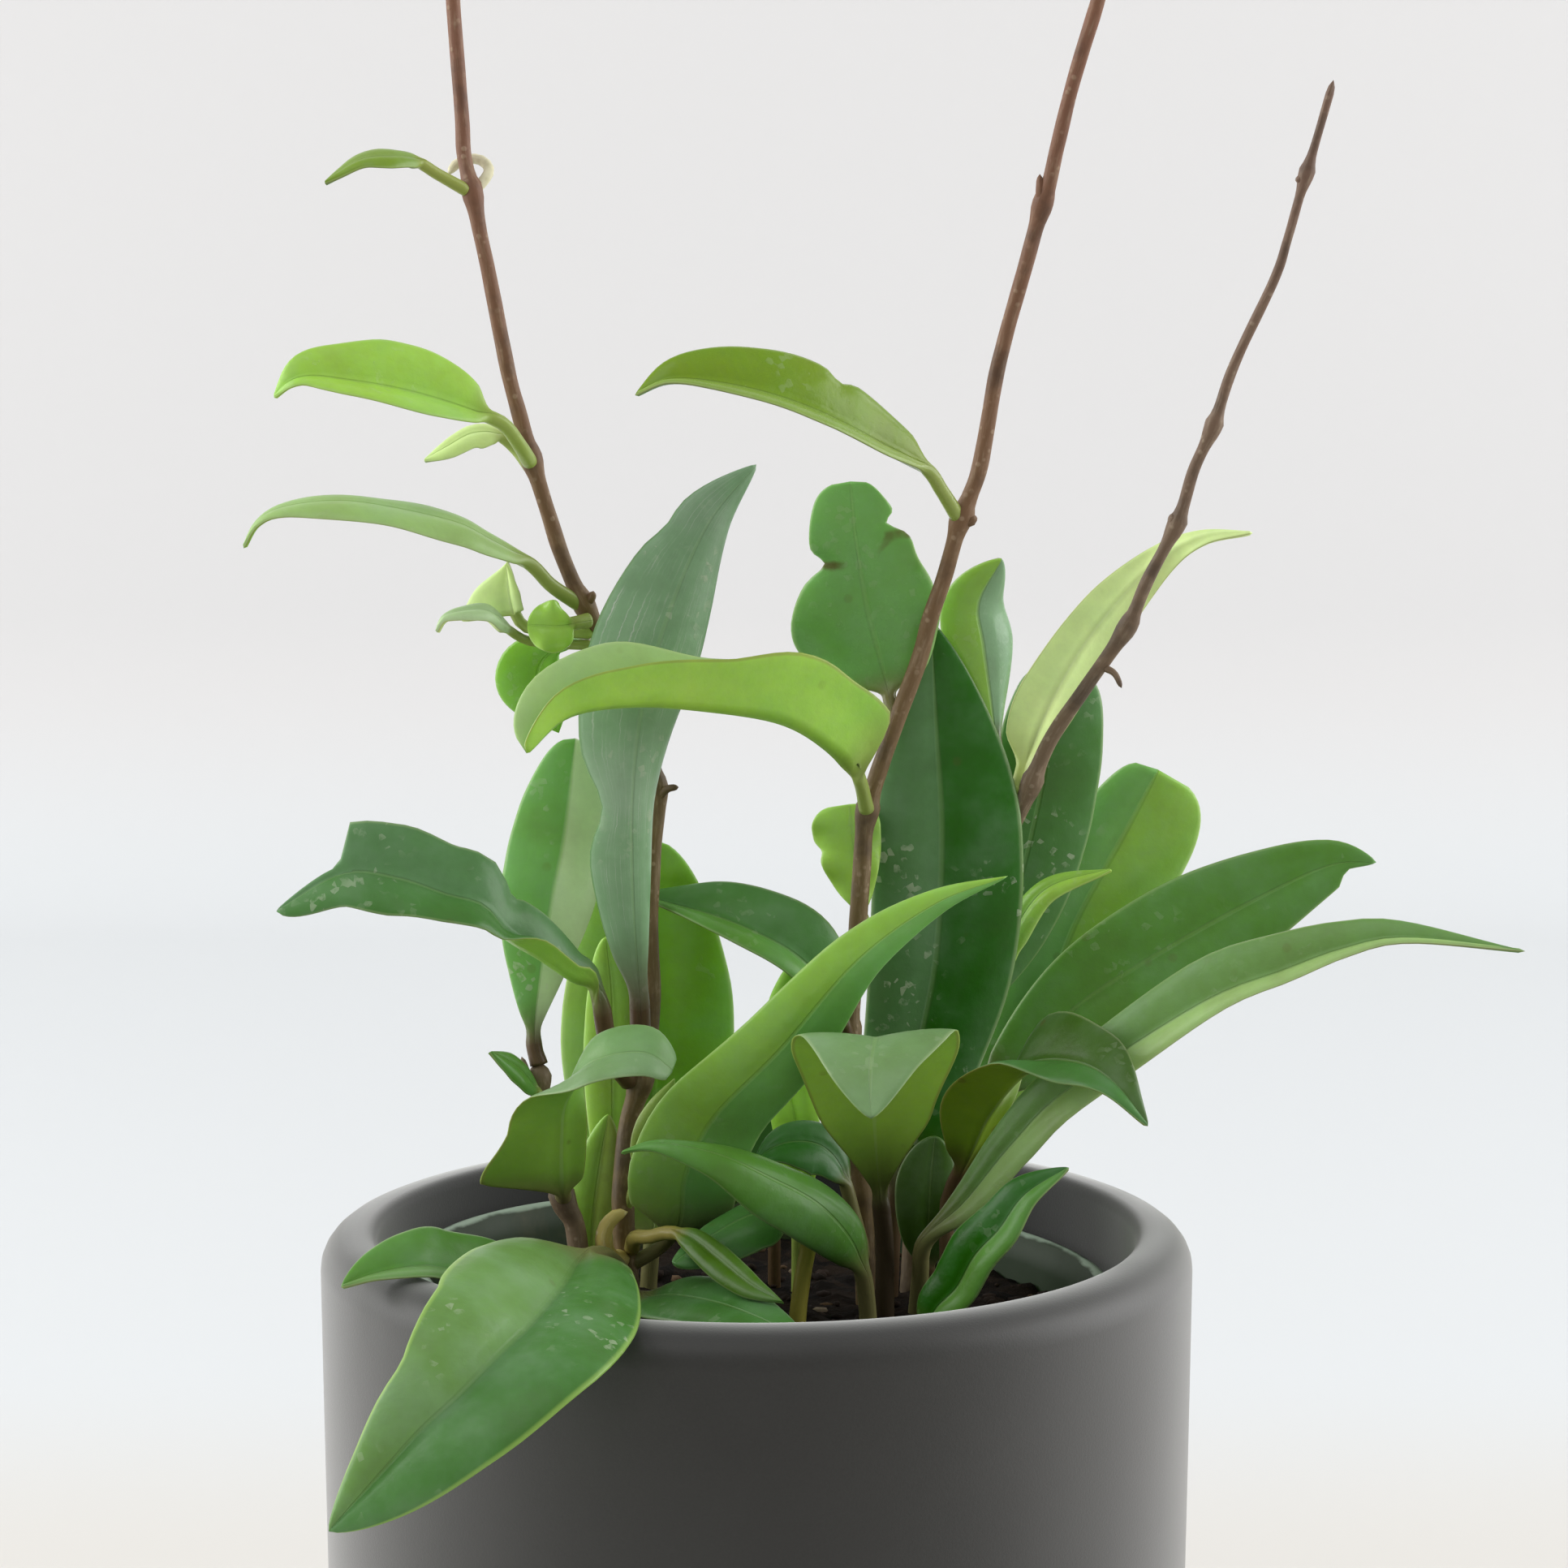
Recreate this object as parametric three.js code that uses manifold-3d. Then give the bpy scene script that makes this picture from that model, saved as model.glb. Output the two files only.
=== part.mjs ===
// A climbing wax plant in a thin nursery pot, set down in a grey ceramic pot.
// Millimetres, +Z up, front towards -Y, origin at the middle of the ceramic pot's underside.
import * as THREE from 'three';
import { mergeVertices } from 'three/addons/utils/BufferGeometryUtils.js';
import Module from 'manifold-3d';

const wasm = await Module();
wasm.setup();

// Ceramic pot
const potHeight = 135;
const potRadius = 75;
const potFootRadius = 73.3;
const potMouthRadius = 65;
const potFloor = 8;
const potSides = 40;

// Nursery pot, leaning a little to the right inside the ceramic pot
const nurseryHeight = 116.6;
const nurseryRimRadius = 60.8;
const nurseryFootRadius = 43;
const nurseryWall = 1.2;
const nurseryLift = 10.6;
const nurseryLean = 2.5;
const nurseryShift = 1;

// Soil
const soilLevel = 108;
const soilMound = 2;

// Fit between pieces that touch
const gap = 0.3;

// Leaf blades
const bladeEdge = 0.8;
const bladeMiddle = 1.5;
const wideStations = [0, 0.05, 0.15, 0.28, 0.42, 0.56, 0.7, 0.83, 0.93, 1];
const wideRing = [-1, -0.55, 0, 0.55, 1, 1, 0.55, 0, -0.55, -1];
const smallStations = [0, 0.06, 0.2, 0.4, 0.6, 0.78, 0.92, 1];
const smallRing = [-1, 0, 1, 1, 0, -1];

const group = new THREE.Group();

const vector = (p) => new THREE.Vector3(p[0], p[1], p[2]);

const paint = (colour, roughness) =>
  new THREE.MeshStandardMaterial({ color: colour, roughness, metalness: 0 });

// Value of a short list of vectors at v from 0 to 1, straight between its entries
function along(list, v) {
  if (list.length === 1) return vector(list[0]);
  const place = Math.min(Math.max(v, 0), 1) * (list.length - 1);
  const i = Math.min(Math.floor(place), list.length - 2);
  const w = place - i;
  return vector(list[i]).lerp(vector(list[i + 1]), w * w * (3 - 2 * w));
}

function solidOf(geometry) {
  const plain = geometry.clone();
  plain.deleteAttribute('normal');
  plain.deleteAttribute('uv');
  const merged = mergeVertices(plain, 1e-4);
  return new wasm.Manifold(
    new wasm.Mesh({
      numProp: 3,
      vertProperties: merged.attributes.position.array,
      triVerts: new Uint32Array(merged.index.array),
    }),
  );
}

function geometryOf(solid) {
  const mesh = solid.getMesh();
  const geometry = new THREE.BufferGeometry();
  geometry.setAttribute('position', new THREE.BufferAttribute(new Float32Array(mesh.vertProperties), 3));
  geometry.setIndex(new THREE.BufferAttribute(new Uint32Array(mesh.triVerts), 1));
  geometry.computeVertexNormals();
  return geometry;
}

function add(name, solid, material) {
  const mesh = new THREE.Mesh(geometryOf(solid), material);
  mesh.name = name;
  group.add(mesh);
}

// Closed skin through a row of rings, with a fan over each end
function skin(rings, first, last, flips) {
  const count = rings[0].length;
  const positions = [];
  rings.forEach((ring) => ring.forEach((p) => positions.push(p.x, p.y, p.z)));
  positions.push(first.x, first.y, first.z, last.x, last.y, last.z);
  const faces = [];
  for (let i = 0; i < rings.length - 1; i += 1) {
    for (let k = 0; k < count; k += 1) {
      const a = i * count + k;
      const b = i * count + ((k + 1) % count);
      const c = a + count;
      const d = b + count;
      if (flips(k)) faces.push(a, b, c, b, d, c);
      else faces.push(a, b, d, a, d, c);
    }
  }
  const start = rings.length * count;
  const end = start + 1;
  const top = (rings.length - 1) * count;
  for (let k = 0; k < count; k += 1) {
    const next = (k + 1) % count;
    faces.push(start, next, k);
    faces.push(end, top + k, top + next);
  }
  const geometry = new THREE.BufferGeometry();
  geometry.setAttribute('position', new THREE.Float32BufferAttribute(positions, 3));
  geometry.setIndex(faces);
  return geometry;
}

// Outline of a blade: share of its full half width at v
function breadth(leaf, v) {
  const belly = leaf.belly ?? 0.42;
  const base = leaf.base ?? 0.6;
  const tip = leaf.tip ?? 1.05;
  if (v < belly) {
    const r = v / belly;
    return (1 - (1 - r) ** 2) ** base;
  }
  const s = (v - belly) / (1 - belly);
  return Math.max(1 - s * s, 0) ** tip;
}

// A leaf: stalk and blade in one closed loft. The line runs from the stalk's root to the tip;
// left and right reach from the midrib to the blade's two edges.
function leafSolid(leaf) {
  const curve = new THREE.CatmullRomCurve3(leaf.line.map(vector), false, 'catmullrom', 0.5);
  curve.arcLengthDivisions = 400;
  const stalkShare = (leaf.stalk ?? 6) / curve.getLength();
  const radius = leaf.radius ?? 1.2;
  const ringSpread = leaf.small ? smallRing : wideRing;
  const sides = ringSpread.length;
  const stalkSteps = stalkShare > 0.25 ? 3 : 2;
  const stations = [];
  for (let i = 0; i < stalkSteps; i += 1) stations.push([(stalkShare * i) / stalkSteps, -1]);
  const rows = leaf.rows ?? (leaf.small ? smallStations : wideStations);
  rows.forEach((v) => stations.push([stalkShare + (1 - stalkShare) * v, v]));
  const rings = stations.map(([u, v]) => {
    const centre = curve.getPointAt(u);
    const tangent = curve.getTangentAt(u);
    const left = along(leaf.left, v);
    const right = along(leaf.right, v);
    left.addScaledVector(tangent, -left.dot(tangent));
    right.addScaledVector(tangent, -right.dot(tangent));
    const span = right.clone().sub(left).multiplyScalar(0.5);
    const fold = right.clone().add(left).multiplyScalar(0.5);
    const side = span.clone().normalize();
    const up = side.clone().cross(tangent);
    const upLeft = tangent.clone().cross(left).normalize();
    const upRight = right.clone().cross(tangent).normalize();
    const width = Math.max(breadth(leaf, Math.max(v, 0)), 0.035);
    const bladeShare = v < 0 ? 0 : Math.min(1, v / 0.08);
    return ringSpread.map((a, k) => {
      const face = k < sides / 2 ? 1 : -1;
      const angle = Math.PI / 2 + (2 * Math.PI * ((sides / 2 - 1) / 2 - k)) / sides;
      const round = centre.clone();
      round.addScaledVector(side, Math.cos(angle) * radius).addScaledVector(up, Math.sin(angle) * radius);
      if (bladeShare === 0) return round;
      let w = width;
      (leaf.notches ?? []).forEach(([where, which, depth, reach]) => {
        if (a * which > 0) w *= 1 - depth * Math.exp(-(((v - where) / reach) ** 2));
      });
      (leaf.cuts ?? []).forEach(([where, which, depth]) => {
        if (a * which > 0) w *= 1 - depth * THREE.MathUtils.smoothstep(v, where, where + 0.05);
      });
      const crease = (Math.sqrt(a * a + 0.02) - 0.1414) / (Math.sqrt(1.02) - 0.1414);
      const normal = a < 0 ? upLeft : a > 0 ? upRight : up;
      const flat = centre.clone();
      flat.addScaledVector(span, a * w).addScaledVector(fold, crease * w);
      const swell = (leaf.bulge ?? 0.5) * w * 4 * Math.abs(a) * (1 - Math.abs(a));
      const turns = (leaf.waves ?? 2.5) * v + (a > 0 ? 0.3 : 0);
      const wave = (leaf.wave ?? 0) * a * a * w * Math.sin(2 * Math.PI * turns);
      const keel = face < 0 && a === 0 ? 0.9 * Math.exp(-v / 0.25) : 0;
      const middle = bladeMiddle * (0.55 + 0.45 * w);
      const depth = THREE.MathUtils.lerp(middle, bladeEdge, Math.abs(a));
      flat.addScaledVector(normal, swell + wave + face * (depth / 2 + keel));
      return round.lerp(flat, bladeShare);
    });
  });
  const first = curve.getPointAt(0);
  const last = curve.getPointAt(1);
  return solidOf(skin(rings, first, last, (k) => k >= sides / 2));
}

// A round stem whose radius is given at even steps, with swollen joints where leaves sit
function stemSolid(line, radii, joints, extra, steps, sides) {
  const curve = new THREE.CatmullRomCurve3(line.map(vector), false, 'catmullrom', 0.5);
  curve.arcLengthDivisions = 400;
  const frames = curve.computeFrenetFrames(steps, false);
  const rings = [];
  for (let i = 0; i <= steps; i += 1) {
    const u = i / steps;
    const centre = curve.getPointAt(u);
    const place = u * (radii.length - 1);
    const j = Math.min(Math.floor(place), radii.length - 2);
    let radius = THREE.MathUtils.lerp(radii[j], radii[j + 1], place - j);
    joints.forEach((height) => {
      radius += 0.75 * Math.exp(-(((centre.z - height) / 3) ** 2));
    });
    radius += extra;
    const ring = [];
    for (let k = 0; k < sides; k += 1) {
      const angle = (2 * Math.PI * k) / sides;
      ring.push(
        centre
          .clone()
          .addScaledVector(frames.normals[i], Math.cos(angle) * radius)
          .addScaledVector(frames.binormals[i], Math.sin(angle) * radius),
      );
    }
    rings.push(ring);
  }
  const first = curve.getPointAt(0).addScaledVector(frames.tangents[0], -extra);
  const last = curve.getPointAt(1).addScaledVector(frames.tangents[steps], 0.4 * radii[radii.length - 1]);
  return solidOf(skin(rings, first, last, () => false));
}

function latheSolid(profile, sides) {
  const points = profile.map(([r, z]) => new THREE.Vector2(r, z));
  const geometry = new THREE.LatheGeometry(points, sides);
  geometry.rotateX(Math.PI / 2);
  return solidOf(geometry);
}

// Colours
const ceramicGrey = paint('#5f5d5c', 0.55);
const nurseryGreen = paint('#46604f', 0.45);
const soilBrown = paint('#241d1a', 0.95);
const stemBrown = paint('#6b5247', 0.7);
const stemGrey = paint('#6f5f55', 0.7);
const darkLeaf = paint('#2f6b3a', 0.45);
const deepLeaf = paint('#2a5f45', 0.42);
const middleLeaf = paint('#4a8a3a', 0.45);
const freshLeaf = paint('#7db33f', 0.45);
const limeLeaf = paint('#9fcb45', 0.45);
const paleLeaf = paint('#b4d67a', 0.5);

// Stems: line from the soil up, radii from foot to tip, heights of the joints
const stems = {
  vine_left: {
    line: [
      [-22, 0, 113], [-22, 0, 122], [-23, 0, 138], [-22, 2, 152], [-20, 2, 160],
      [-18, 3, 173], [-18.4, 4, 185], [-17.8, 6, 199], [-17.2, 8, 210.5], [-22, 8, 227],
      [-29.4, 6, 242], [-31.8, 6, 247.2], [-33.9, 6, 252.9], [-36.2, 5, 260.6], [-38, 4, 266.8],
      [-40, 4, 274.5], [-41.9, 4, 281.9], [-44.7, 4, 296.7], [-46.4, 4, 305.1], [-47.7, 5, 311.9],
      [-49.2, 7, 318.3], [-49.6, 8.6, 324.8], [-51.1, 12, 343.9], [-52, 14, 364], [-52, 16, 383],
    ],
    radii: [2.1, 1.9, 1.55, 1.35, 1.35, 1.3, 1.25, 1.2, 1.1],
    joints: [160, 210, 242, 267, 312, 352],
    steps: 34,
    material: stemBrown,
  },
  vine_middle: {
    line: [
      [19, 8, 112], [19, 8, 121], [18, 8, 142], [16, 8, 165], [17, 8, 180],
      [18, 8, 195], [19, 8, 206], [23, 8, 219], [27.6, 8, 231.8], [29.5, 7, 239],
      [32, 6, 246.9], [34.6, 4, 256.6], [36.2, 4, 260.7], [38.1, 4, 266.9], [40.9, 4, 283],
      [45.1, 2, 299.2], [46.7, 2, 305.3], [48.1, 1, 310.5], [49.1, 0, 313.9], [50.4, -1, 320.2],
      [53, -3, 331.4], [56.7, -6, 344.4], [62.5, -8, 366], [67, -10, 388],
    ],
    radii: [2, 1.8, 1.6, 1.5, 1.4, 1.3, 1.25, 1.2, 1.1],
    joints: [167, 206, 257, 310, 352],
    steps: 34,
    material: stemBrown,
  },
  vine_right: {
    line: [
      [26, 22, 110], [27, 22, 117], [29, 24, 145], [38, 24, 185], [46.6, 20, 206.3],
      [50.9, 18, 217.1], [57.3, 15, 227.4], [63.6, 13, 237.3], [66.7, 12, 244.9], [71.9, 10, 255.9],
      [74.5, 9, 264.9], [77.6, 8, 272.3], [81.1, 8, 282.9], [87.6, 6, 297.6], [89.5, 5, 304.1],
      [92, 4, 313.7], [94.3, 4, 321.7], [96.8, 4, 330.9],
    ],
    radii: [2, 1.8, 1.6, 1.5, 1.3, 1.1, 0.95, 0.8, 0.7],
    joints: [209, 237, 255, 272, 315],
    steps: 28,
    material: stemGrey,
  },
  stem_short: {
    line: [
      [-30, -6, 112], [-30, -6, 124], [-31, -6, 136], [-33, -6, 141], [-36, -5, 153], [-37, -5, 160],
      [-37, -5, 165],
    ],
    radii: [1.9, 1.8, 1.7, 1.6, 1.5],
    joints: [141, 162],
    steps: 12,
    material: stemGrey,
  },
};

// Short growths on the vines: air roots, scars of fallen leaves, buds
const growths = {
  vine_left: [
    { line: [[-16.7, 7, 208.5], [-15.3, 6, 210.2], [-13.3, 5, 210.7]], radii: [0.8, 0.5] },
    { line: [[-29.4, 6, 242], [-28.2, 5, 243.1], [-27.7, 5, 244.5]], radii: [1, 0.6] },
  ],
  vine_middle: [
    { line: [[16, 8, 168], [13.4, 6, 170], [12.6, 6, 172.6]], radii: [1, 0.7] },
    { line: [[34.7, 4, 256.8], [36.3, 3.4, 256.6], [36.7, 3, 257.8]], radii: [1.2, 0.9] },
    { line: [[48, 1, 309.7], [47.6, 0, 312.4], [47.5, 0, 315.4]], radii: [1.1, 0.5] },
  ],
  vine_right: [
    { line: [[59.4, 14, 230.2], [61.5, 13, 229.2], [62.7, 12, 226.8]], radii: [0.7, 0.45] },
    { line: [[71.9, 10, 255.9], [70.3, 9.4, 256.5]], radii: [1.2, 0.8] },
    { line: [[71.9, 10, 255.9], [73.5, 9.6, 256.1]], radii: [1.2, 0.8] },
    { line: [[77.6, 8, 272.3], [76.3, 7.6, 273.3]], radii: [1, 0.6] },
    { line: [[77.6, 8, 272.3], [79, 7.8, 272.7]], radii: [1, 0.6] },
    { line: [[92, 4, 313.7], [90.8, 3.6, 314.7]], radii: [0.9, 0.6] },
  ],
  stem_short: [
    { line: [[-37, -5, 160], [-39, -6, 163], [-40, -6, 166]], radii: [0.9, 0.5] },
  ],
};

const stemRooms = {};
for (const [name, stem] of Object.entries(stems)) {
  let solid = stemSolid(stem.line, stem.radii, stem.joints, 0, stem.steps, 7);
  let room = stemSolid(stem.line, stem.radii, stem.joints, gap, stem.steps, 7);
  growths[name].forEach((growth) => {
    solid = solid.add(stemSolid(growth.line, growth.radii, [], 0, 4, 6));
    room = room.add(stemSolid(growth.line, growth.radii, [], gap, 4, 6));
  });
  stemRooms[name] = room;
  add(name, solid, stem.material);
}

// Leaves
const leaves = [
  // Left vine, from the top down
  {
    name: 'leaf_left_1', on: 'vine_left', material: middleLeaf, stalk: 10, radius: 1, small: true,
    line: [
      [-48, 4.6, 312], [-53.3, 2, 315.2], [-56.8, 0, 317.4], [-61.1, -3, 317.9], [-65.7, -5, 317.4],
      [-71.5, -8, 314.2],
    ],
    left: [[0, -3.6, -1.2]], right: [[0, 3.6, 1.2]],
  },
  {
    name: 'leaf_left_2', on: 'vine_left', material: limeLeaf, stalk: 15, belly: 0.4, tip: 0.85,
    line: [
      [-38, 4, 266], [-39.8, -2, 270.1], [-42.6, -5, 274.1], [-47.7, -7, 276.2], [-54.3, -9, 278.4],
      [-60.9, -11, 280.2], [-67.5, -13, 281.5], [-73.5, -14, 282.4], [-76.8, -15, 281.8],
      [-79.8, -15, 279.2],
    ],
    left: [[0, -6.5, -1.8]], right: [[0, 4, 8]],
  },
  {
    name: 'leaf_left_3', on: 'vine_left', material: paleLeaf, stalk: 8, small: true, radius: 0.9,
    line: [[-38, 4, 265], [-41, 6, 268.6], [-44, 5, 271], [-48, 4, 271], [-52, 2, 269], [-56, 1, 267]],
    left: [[0, -3, -2.2]], right: [[0, 3, 1.4]],
  },
  {
    name: 'leaf_left_4', on: 'vine_left', material: freshLeaf, stalk: 13, wave: 0.4,
    line: [
      [-29.4, 6, 241.6], [-34.7, 3, 245.6], [-38.4, 0, 249.8], [-45.3, -4, 254.2], [-50.6, -6, 257],
      [-61.3, -9, 259.8], [-69.9, -11, 261.1], [-78.6, -12.5, 260.3], [-82.9, -13.5, 258.1],
      [-85.3, -14, 254],
    ],
    left: [[0, -6, -2.3]], right: [[0, 6, 0.7]],
  },
  {
    name: 'leaf_left_5', on: 'vine_left', material: paleLeaf, stalk: 15.4, radius: 1, small: true,
    belly: 0.12, base: 0.3, tip: 1.1,
    line: [
      [-27, 6, 237], [-33.5, 6.2, 237.5], [-38.2, 5.4, 237.9], [-40.5, 5, 239.5], [-41.7, 4.6, 243.6],
      [-42.3, 5, 249.5],
    ],
    left: [[-9.8, 1, 0], [-8, 1, 0], [-6, 1, 0]], right: [[1.8, -2, 0], [1.8, -1.6, 0]],
  },
  {
    name: 'leaf_left_6', on: 'vine_left', material: freshLeaf, stalk: 17, radius: 0.8, small: true,
    line: [
      [-27, 4.8, 235.2], [-33, 6.2, 235.2], [-39, 6.2, 235.8], [-42.8, 1.8, 238.8],
      [-45.6, -2.4, 241.4], [-49.1, -5, 241.8], [-52.3, -6, 241.1], [-53.7, -6.5, 238.9],
    ],
    left: [[0, -3, -0.8]], right: [[0, 3, 0.8]],
  },
  {
    name: 'leaf_left_7', on: 'vine_left', material: middleLeaf, stalk: 4, belly: 0.45, small: true,
    line: [[-26, 7, 235], [-30, 11, 235], [-35.5, 12, 233], [-37.6, 12, 228], [-34, 12, 219]],
    left: [[7, 0, 2]], right: [[-7.6, 0, -1]],
  },
  {
    name: 'leaf_left_8', on: 'vine_left', material: freshLeaf, stalk: 4, wave: 0.6, waves: 2,
    tip: 0.5, small: true,
    line: [[-28.4, 4, 239.6], [-31, 1.4, 239.4], [-33.4, 0.4, 239], [-38.8, 0.4, 239.2]],
    left: [[0, -1, -4.4]], right: [[0, 1, 4.4]],
  },
  {
    name: 'leaf_left_9', on: 'vine_left', material: deepLeaf, stalk: 11, belly: 0.56, tip: 0.85,
    radius: 1.8,
    line: [
      [-20, 2, 163], [-20, -1, 175], [-21, -6, 194], [-21, -9, 212], [-19, -8, 228], [-14, -4, 244],
      [-8, 0, 257], [0, 6, 266],
    ],
    left: [[-8, 1, 0], [-9, 1, 0], [-11.5, 1, 1], [-9, 0, 5]],
    right: [[4, 2, 0], [4, 5, 0], [8, 5, -1], [6, 5, -4]],
    notches: [[0.36, -1, 0.42, 0.06], [0.83, -1, 0.14, 0.03]],
  },
  {
    name: 'leaf_left_10', on: 'vine_left', material: darkLeaf, stalk: 18, belly: 0.62, tip: 0.6,
    radius: 1.6,
    rows: [0, 0.05, 0.14, 0.26, 0.4, 0.54, 0.66, 0.75, 0.79, 0.84, 0.93, 1],
    line: [
      [-21, 2, 159], [-25, -3, 166], [-27, -8, 178], [-31, -11, 181], [-36, -14, 185],
      [-42, -16, 189], [-46, -18, 194], [-52, -19, 196], [-60, -20, 199], [-69, -21, 200],
      [-80, -22, 194],
    ],
    left: [[-1, -3, 5], [-1, -4, 5.4], [0, -6, -3], [0, -5, -6], [0, -4, -8]],
    right: [[0, 5, 6], [0, 5, 8], [0, 4, 8.4], [0, 3, 9.4], [0, 3, 11]],
    cuts: [[0.79, 1, 0.8]],
  },
  {
    name: 'leaf_left_11', on: 'vine_left', material: middleLeaf, stalk: 9, belly: 0.16, base: 0.42,
    tip: 0.85,
    line: [
      [-22, 0, 128], [-16, -1, 132], [-13, -6, 138], [-12, -10, 147], [-7, -11, 157], [4, -14, 169],
      [17, -18, 185], [30, -20, 195], [42, -22, 200],
    ],
    left: [[-10, 0, 0], [-9, 0, 3], [-6, 0, 5.5], [-4.4, 1, 6], [-2, 1, 5]],
    right: [[10, 2, 0], [9, 3, -3], [6, 3, -6], [3.4, 2, -5.4], [2, 1, -5]],
  },
  {
    name: 'leaf_left_12', on: 'vine_left', material: middleLeaf, stalk: 20, belly: 0.45, small: true,
    line: [
      [-21.6, 0, 130.4], [-20.8, -7, 134.6], [-18.2, -11, 135.7], [-14.7, -15, 137.4], [-10.9, -19, 137.3],
      [-6.4, -24, 134.8], [-0.9, -30, 131.8], [4.7, -35, 130.2],
    ],
    left: [[1.2, 1.2, 2.2]], right: [[-1.6, -2, -2.2]],
  },
  {
    name: 'leaf_left_13', on: 'vine_left', material: middleLeaf, stalk: 34, belly: 0.38, base: 0.2,
    tip: 0.75, radius: 1.6, bulge: 1.6,
    line: [
      [-22, -1, 125.2], [-25.5, -22, 135], [-29, -38, 137.9], [-31.4, -60, 138.6], [-36, -78, 136.8],
      [-40.4, -86, 134.2], [-46.5, -92, 129.2], [-52, -95, 124.8], [-58.1, -97, 118.5],
      [-66.4, -98, 109.4],
    ],
    left: [[10, -3, -0.6], [13.8, -9.4, -4], [14.4, -8, -8.2]],
    right: [[-14, 0, 4.6], [-15, 1, 7.6], [-8, 2, 7]],
  },
  {
    name: 'leaf_left_14', on: 'vine_left', material: middleLeaf, stalk: 9, belly: 0.3, tip: 0.8,
    small: true,
    line: [[-22, 0, 122.6], [-18, -11, 125], [-13, -19, 127], [-4, -31, 128], [8, -45, 126.5]],
    left: [[4, 6, 2.4]], right: [[-5, -5, -2.4]],
  },
  {
    name: 'leaf_left_15', on: 'vine_left', material: freshLeaf, stalk: 10, radius: 0.8, small: true,
    line: [[-23, 0, 136], [-20, -3, 146], [-17, -5, 155], [-14, -5, 162]],
    left: [[-3, 0, 1]], right: [[3, 1, -1]],
  },
  {
    name: 'leaf_left_16', on: 'vine_left', material: limeLeaf, stalk: 16, belly: 0.6, tip: 0.6,
    small: true,
    line: [
      [-22, 0, 123], [-24, 5, 130], [-25, 8, 140], [-25, 9, 150], [-25, 10, 163], [-25, 10, 174],
      [-26, 9, 184],
    ],
    left: [[-5, 0, 0]], right: [[6, 0, 0]],
  },
  // Middle vine
  {
    name: 'leaf_mid_1', on: 'vine_middle', material: freshLeaf, stalk: 12, belly: 0.48, tip: 0.9,
    line: [
      [34.6, 4, 256.6], [31.3, 0, 262.2], [28.4, -3, 266.3], [20.9, -7, 270.5], [12, -11, 275.4],
      [2.5, -14, 279.2], [-6.9, -16, 281.5], [-14.2, -18, 282.2], [-19.9, -19, 280],
    ],
    left: [[-1, -6.5, -0.2]], right: [[1, 5.5, 7], [1, 5.5, 7.6], [1, 5, 8]],
    notches: [[0.37, 1, 0.16, 0.035]],
  },
  {
    name: 'leaf_mid_2', on: 'vine_middle', material: middleLeaf, stalk: 5, belly: 0.4, tip: 0.3,
    wave: 0.8, waves: 3,
    line: [[23.6, 8, 221], [22, 11, 229], [19, 11, 241], [17, 9, 253], [16, 7, 263]],
    left: [[-12, 0, -1], [-14.6, 0, 0], [-9.2, 0, 1], [-9.6, 0, 0]],
    right: [[12.4, 0, 0], [12.6, 0, 0], [10.5, 0, 0], [7.8, 0, 0]],
    notches: [[0.635, -1, 0.3, 0.05], [0.79, 1, 0.33, 0.04]],
    rows: [0, 0.05, 0.15, 0.3, 0.45, 0.55, 0.6, 0.64, 0.7, 0.75, 0.79, 0.84, 0.92, 1],
  },
  {
    name: 'leaf_mid_3', on: 'vine_middle', material: freshLeaf, stalk: 9, belly: 0.15, base: 0.26,
    tip: 0.42,
    line: [
      [19, 7, 206], [17, 0, 214], [12, -6, 220], [4, -11, 225], [-8, -15, 227.5], [-20, -18, 228.5],
      [-31, -21, 227], [-38, -24, 221],
    ],
    left: [[7.4, -1, 10.4], [0, -3, 14], [0, -4, 9.5], [0, -4, 8.5], [-1, -3, 8]],
    right: [[9, 6, 9], [0, 6, 9], [0, 6, 8], [-5, 6, 12.6], [-9, 4, 11.6]],
  },
  {
    name: 'leaf_mid_4', on: 'vine_middle', material: freshLeaf, stalk: 5, belly: 0.8, base: 1,
    tip: 0.25, wave: 1, small: true,
    line: [[18.4, 8.4, 183], [18, 13, 189], [17, 15, 197], [16, 16, 206]],
    left: [[-7, 0, 0]], right: [[5, 0, 0]],
    notches: [[0.62, -1, 0.15, 0.06]],
  },
  {
    name: 'leaf_mid_5', on: 'vine_middle', material: darkLeaf, stalk: 6, belly: 0.45, base: 0.5,
    line: [
      [16, 8, 165], [15, 4, 169.6], [13.2, 3, 174], [9.8, 2, 178.8], [5.3, 2, 182.7],
      [-1.7, 3, 186.1], [-8.7, 5, 188.4], [-16.4, 8, 190.1], [-22, 10, 191.5],
    ],
    left: [[-3, -4, -1.6], [-2, -5, -1.4], [0, -4, -0.6]],
    right: [[5, 3, 3], [5, 4, 6.6], [2, 5, 7], [0, 5, 6]],
  },
  // Right vine
  {
    name: 'leaf_right_1', on: 'vine_right', material: paleLeaf, stalk: 5, belly: 0.25, tip: 0.8,
    line: [
      [45, 20, 207], [47, 25, 213], [52, 28, 224], [59, 30, 235], [69, 30, 246], [77, 28, 251],
      [86, 26, 252],
    ],
    left: [[4.4, 2, -2], [5, 2, -3.4], [1, -4, -3]],
    right: [[-6.4, 0, 2.4], [-4, 0, 3.2], [-0.6, 4, 1.8]],
  },
  {
    name: 'leaf_right_2', on: 'vine_right', material: darkLeaf, stalk: 14, belly: 0.55, tip: 0.75,
    line: [[43, 21, 202], [41, 20, 219], [39, 18, 233], [38, 17, 241], [42, 14, 249]],
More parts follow.
